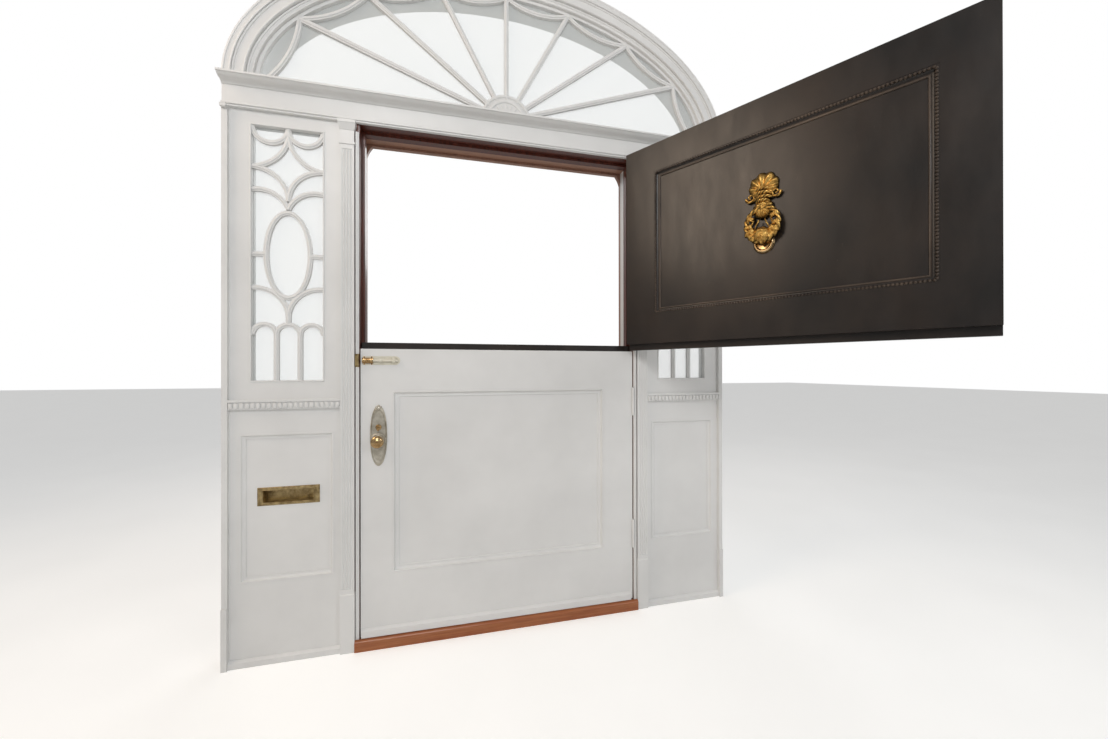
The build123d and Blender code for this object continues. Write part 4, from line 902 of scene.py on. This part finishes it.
# Heading in degrees and length share of the wreath's leaves
WREATH_LEAVES = ((-150, 1.0), (-120, 0.9), (-90, 1.15), (-60, 0.9), (-30, 1.0), (-5, 0.8),
                 (185, 0.8), (150, 0.75), (30, 0.75), (-135, 0.8), (-45, 0.8))
# Start across and up, and run across and up, of the stems inside the wreath
WREATH_STEMS = ((10, -50, 16, -36), (30, -48, 10, -34), (8, -98, 26, 8))


def on_panel(u, v, w):
    """Point of the closed upper leaf's panel: u mm across, v mm above the pivot, w mm out."""
    return np.array((-u * MM, PANEL_OUT + w * MM, PIVOT_Z + v * MM))


def medallion(centre, outline, relief, rings, spokes):
    """Carve a medallion that lies on the upper leaf's panel."""
    return carved(centre, -ACROSS, UPWARD, DEEP, outline, relief, rings, spokes)


def lobes(count, base, depth):
    """Scalloped outline: R(f) = base (1 + depth |cos(count f / 2)|)."""
    return lambda f: base * (1 + depth * np.abs(np.cos(count * f / 2)))


def crest_outline(f):
    """Plume: 50 mm round, 16 mm taller at the top with 6 mm tips, and drawn in by 0.38 below."""
    upper = np.clip(np.sin(f), 0, 1)
    plume = 0.050 + 0.016 * upper + 0.006 * np.abs(np.cos(5.5 * f)) * upper
    return plume * (1 - 0.38 * np.clip(-np.sin(f), 0, 1))


def crest_relief(r, f):
    """Fluted dome: flutes as cos 11 f that deepen with r, rounded off by sqrt(1 - r^6)."""
    fan = 0.5 + 0.5 * np.cos(11 * f)
    rise = 0.012 + 0.012 * np.sin(np.clip(r, 0, 1) * math.pi * 0.85) + 0.006 * fan * r
    return rise * np.sqrt(np.clip(1.02 - r ** 6, 0, 1)) * (0.6 + 0.4 * (1 - r) + 0.3 * fan * r)


def mask_relief(r, f):
    """Dome 0.028 sqrt(1 - r^2.4) with a brow above and beard locks as cos(17 f + 5 r)."""
    beard = 0.5 + 0.5 * np.cos(17 * f + 5 * r)
    lower = np.clip(-np.sin(f), 0, 1)
    brow = np.exp(-((r - 0.45) / 0.16) ** 2) * np.clip(np.sin(f), 0, 1)
    dome = 0.028 * np.sqrt(np.clip(1 - r ** 2.4, 0, 1))
    return dome + 0.005 * beard * r * (1 - r ** 8) * (0.4 + lower) + 0.006 * brow


def leaf_outline(f):
    """Long leaf, as 0.55 + 0.45 cos^2 f, with a wavy edge."""
    return 0.021 * (0.55 + 0.45 * np.cos(f) ** 2) * (1 + 0.12 * np.cos(7 * f))


def leaf_relief(r, f):
    """Veined swell: 0.016 sqrt(1 - r^3) with veins as cos(9 f + 4 r)."""
    vein = 0.5 + 0.5 * np.cos(9 * f + 4 * r)
    swell = 0.016 * np.sqrt(np.clip(1 - r ** 3, 0, 1))
    return (swell + 0.004 * vein * r * (1 - r ** 8)) + 0.0005


def crest_shells():
    """Plumed crest, mask, brow rolls, side scrolls, eyes, pivot lugs and nose."""
    shells = [medallion(on_panel(0, 60, 0), crest_outline, crest_relief, 20, 132),
              medallion(on_panel(0, -8, 0), lobes(14, 0.036, 0.08), mask_relief, 18, 112)]
    t = np.linspace(-1, 1, 25)
    taper = np.sqrt(np.clip(1.03 - t ** 2, 0.02, 1))
    for v, width, radius, lift in BROW_ROLLS:
        sweep = joined(width * MM * t, -10 * MM * t ** 2, -8 * MM * t ** 2)
        shells.append(roll_tube(on_panel(0, v, lift) + sweep, radius * MM, taper, 5, 0.12))
    t = np.linspace(0, 1, 33)
    curl = 2.6 * math.pi * t
    reach = 17 * MM * (1 - 0.8 * t)
    for hand in (-1, 1):
        scroll = joined(-hand * reach * np.cos(curl), 4 * MM * t, -reach * np.sin(curl))
        shells.append(roll_tube(on_panel(hand * 44, 44, 9) + scroll, 5.5 * MM, 1 - 0.55 * t, 6, 0.12))
        shells.append(stamp(ball((5 * MM,) * 3, rows=9, columns=14), on_panel(hand * 14, 2, 27)[None]))
        lug = np.linspace(on_panel(hand * 29, -4, 10), on_panel(hand * 29, 6, 10), 5)
        shells.append(roll_tube(lug, 6 * MM, np.ones(5)))
    nose = joined(0.0, 0.0, np.linspace(10, -14, 9)) * MM
    shells.append(roll_tube(on_panel(0, 0, 28) + nose, 5 * MM, np.linspace(0.6, 1.1, 9), 2, 0.08))
    return shells


def wreath_shells():
    """Ring with its pivot pin, the leaves round it, the stems inside and the basket below."""
    turn = np.linspace(0, 2 * math.pi, 97)
    ring = joined(-56 * MM * np.sin(turn), 0.0, 61 * MM * np.cos(turn))
    weight = 0.85 + 0.35 * np.clip(-np.cos(turn), 0, 1)
    pin = np.linspace(on_panel(-24.6, 0, 18.7), on_panel(24.6, 0, 18.7), 9)
    shells = [roll_tube(on_panel(0, WREATH_HUB, 23) + ring, 9.5 * MM, weight, 16, 0.22),
              roll_tube(pin, 5 * MM, np.ones(9))]
    for angle, reach in WREATH_LEAVES:
        spin = math.radians(angle)
        heading = math.cos(spin) * -ACROSS + math.sin(spin) * UPWARD
        spot = on_panel(0, WREATH_HUB, 21) + (math.cos(spin) * 48 * MM * -ACROSS
                                              + math.sin(spin) * 52 * MM * UPWARD)
        leaf = carved(spot, heading, np.cross(DEEP, heading), DEEP, leaf_outline, leaf_relief, 10, 56)
        shells.append((spot + (leaf[0] - spot) * reach, leaf[1], leaf[2]))
    t = np.linspace(0, 1, 13)[:, None]
    for hand in (-1, 1):
        for u, v, run, climb in WREATH_STEMS:
            start = on_panel(hand * u, v, 22)
            end = on_panel(hand * (u + run), v + climb, 24)
            stem = start + (end - start) * t + DEEP * 4 * MM * np.sin(math.pi * t)
            shells.append(roll_tube(stem, 3 * MM, 1 - 0.3 * t[:, 0], 2, 0.15))
    shells.append(medallion(on_panel(0, -108, 18), lobes(10, 0.030, 0.1), mask_relief, 14, 80))
    return shells


class STABLE_OT_knocker(Operator):
    """Carve the knocker: plumed crest, brow rolls, bearded mask, leaf wreath and strike button"""

    bl_idname = "stable_door.knocker"
    bl_label = "Knocker"

    def execute(self, context):
        make_piece("knocker_crest", crest_shells(), "antique_cast_brass", "upper_leaf",
                   "knocker_brass", ("knocker_plate",), open_leaf=True, crease=60.0)
        button = lathe(BUTTON_PROFILE, on_panel(0, -135, 0), DEEP)
        make_piece("knocker_strike_button", [button], "polished_knob_brass", "upper_leaf",
                   "knocker_brass", open_leaf=True)
        make_piece("knocker_wreath", wreath_shells(), "antique_cast_brass", "knocker_ring",
                   "knocker_brass", ("knocker_ring",), open_leaf=True, crease=60.0)
        return {"FINISHED"}


# Stage

FLOOR_REACH = 30.0
FULL_WHITE = (1.0, 1.0, 1.0, 1.0)
CAMERA_TURN = (90.1, 0.07, -14.09)
SENSOR_WIDTH = 36.0
# Name, place, target, size, power setting and colour of each lamp
LAMPS = (
    ("key_lamp", (-0.9, -4.6, 3.9), (0.1, 0.0, 1.2), 2.0, "key_power", (1.0, 1.0, 1.0)),
    ("fill_lamp", (2.8, -3.4, 2.6), (0.0, 0.0, 1.4), 2.2, "fill_power", (1.0, 1.0, 1.0)),
    ("back_lamp", (0.6, 3.4, 3.4), (0.0, 0.0, 1.4), 2.4, "fill_power", (1.0, 1.0, 1.0)),
    ("side_lamp", (-3.1, -0.9, 3.4), (0.8, -0.3, 1.9), 2.0, "side_power", (1.0, 0.8, 0.62)),
)


def lay_floor(glow):
    """Lay a wide painted floor that is lifted towards white for the camera alone."""
    tree, shader = start_finish("pale_floor_paint", {"Roughness": 0.7, "Emission Color": FULL_WHITE})
    tone = blend_by(tree, marks(tree, 600.0), 0.3, 0.7, "#F4F4F2", "#EEEEEC")
    tree.links.new(tone, shader.inputs["Base Color"])
    rays = add_node(tree, "LightPath")
    seen = add_node(tree, "Math", {"operation": "MULTIPLY"}, {1: glow}, {0: rays.outputs["Is Camera Ray"]})
    tree.links.new(seen.outputs["Value"], shader.inputs["Emission Strength"])
    corners = rectangle(-FLOOR_REACH, FLOOR_REACH, -FLOOR_REACH, FLOOR_REACH)
    mesh = bpy.data.meshes.new("floor")
    mesh.from_pydata([(x, y, 0) for x, y in corners.tolist()], [], [(0, 1, 2, 3)])
    mesh.materials.append(bpy.data.materials["pale_floor_paint"])
    floor = put("floor", mesh)


def light_world(scene, sky):
    """White for the camera and through the glass, and an even low level for everything else."""
    world = bpy.data.worlds.new("studio")
    scene.world = world
    world.use_nodes = True
    tree = world.node_tree
    tree.nodes.clear()
    rays = add_node(tree, "LightPath")
    seen = add_node(tree, "Math", {"operation": "MAXIMUM"},
                    links={0: rays.outputs["Is Camera Ray"],
                           1: rays.outputs["Is Transmission Ray"]})
    level = add_node(tree, "MapRange", values={"To Min": sky, "To Max": 1.0},
                     links={"Value": seen.outputs["Value"]})
    glow = add_node(tree, "Background", values={"Color": FULL_WHITE},
                    links={"Strength": level.outputs["Result"]})
    add_node(tree, "OutputWorld", links={"Surface": glow.outputs["Background"]})


def hang_lamps(settings):
    """Hang round soft lamps that look at their targets."""
    for name, place, target, size, power, colour in LAMPS:
        data = bpy.data.lights.new(name, "AREA")
        data.shape = "DISK"
        data.size = size
        data.energy = getattr(settings, power)
        data.color = colour
        lamp = put(name, data)
        aim = np.array(target) - np.array(place)
        flat = math.hypot(aim[0], aim[1])
        lamp.location = place
        lamp.rotation_euler = (math.atan2(flat, -aim[2]), 0.0, math.atan2(-aim[0], aim[1]))


def stand_camera(scene, settings):
    """Stand the camera where the photo was taken from, with the photo's lens."""
    data = bpy.data.cameras.new("camera")
    data.sensor_fit = "HORIZONTAL"
    data.sensor_width = SENSOR_WIDTH
    data.lens = settings.lens
    data.clip_start = 0.01
    camera = put("camera", data)
    camera.location = settings.stand
    camera.rotation_euler = tuple(math.radians(angle) for angle in CAMERA_TURN)
    scene.camera = camera


class STABLE_OT_stage(Operator):
    """Lay the floor, light the surround, hang the lamps and stand the camera"""

    bl_idname = "stable_door.stage"
    bl_label = "Stage"

    def execute(self, context):
        scene = context.scene
        settings = scene.stable_stage
        scene.view_settings.view_transform = "Standard"
        lay_floor(settings.floor_glow)
        light_world(scene, settings.sky)
        hang_lamps(settings)
        stand_camera(scene, settings)
        return {"FINISHED"}


OPERATORS = (STABLE_OT_finishes, STABLE_OT_tracery, STABLE_OT_fanlight, STABLE_OT_beading,
             STABLE_OT_lock, STABLE_OT_bolts, STABLE_OT_letter_plate, STABLE_OT_knocker,
             STABLE_OT_stage)


class STABLE_PT_finisher(Panel):
    """Lists the steps and the values that a user would change"""

    bl_label = "Stable Door"
    bl_idname = "STABLE_PT_finisher"
    bl_space_type = "VIEW_3D"
    bl_region_type = "UI"
    bl_category = "Stable Door"

    def draw(self, context):
        layout = self.layout
        scene = context.scene
        for group in (scene.stable_finishes, scene.stable_sizes, scene.stable_stage):
            box = layout.box()
            for key in group.__annotations__:
                box.prop(group, key)
        for operator in OPERATORS:
            layout.operator(operator.bl_idname)


CLASSES = (DoorFinishes, DoorSizes, StageSettings) + OPERATORS + (STABLE_PT_finisher,)


def register():
    """Register the classes and hang the settings on the scene."""
    for cls in CLASSES:
        bpy.utils.register_class(cls)
    bpy.types.Scene.stable_finishes = PointerProperty(type=DoorFinishes)
    bpy.types.Scene.stable_sizes = PointerProperty(type=DoorSizes)
    bpy.types.Scene.stable_stage = PointerProperty(type=StageSettings)


def unregister():
    """Take the settings off the scene and unregister the classes."""
    del bpy.types.Scene.stable_stage
    del bpy.types.Scene.stable_sizes
    del bpy.types.Scene.stable_finishes
    for cls in reversed(CLASSES):
        bpy.utils.unregister_class(cls)


def main():
    """Run every step in order."""
    register()
    for operator in OPERATORS:
        group, name = operator.bl_idname.split(".")
        getattr(getattr(bpy.ops, group), name)()


if __name__ == "__main__":
    main()
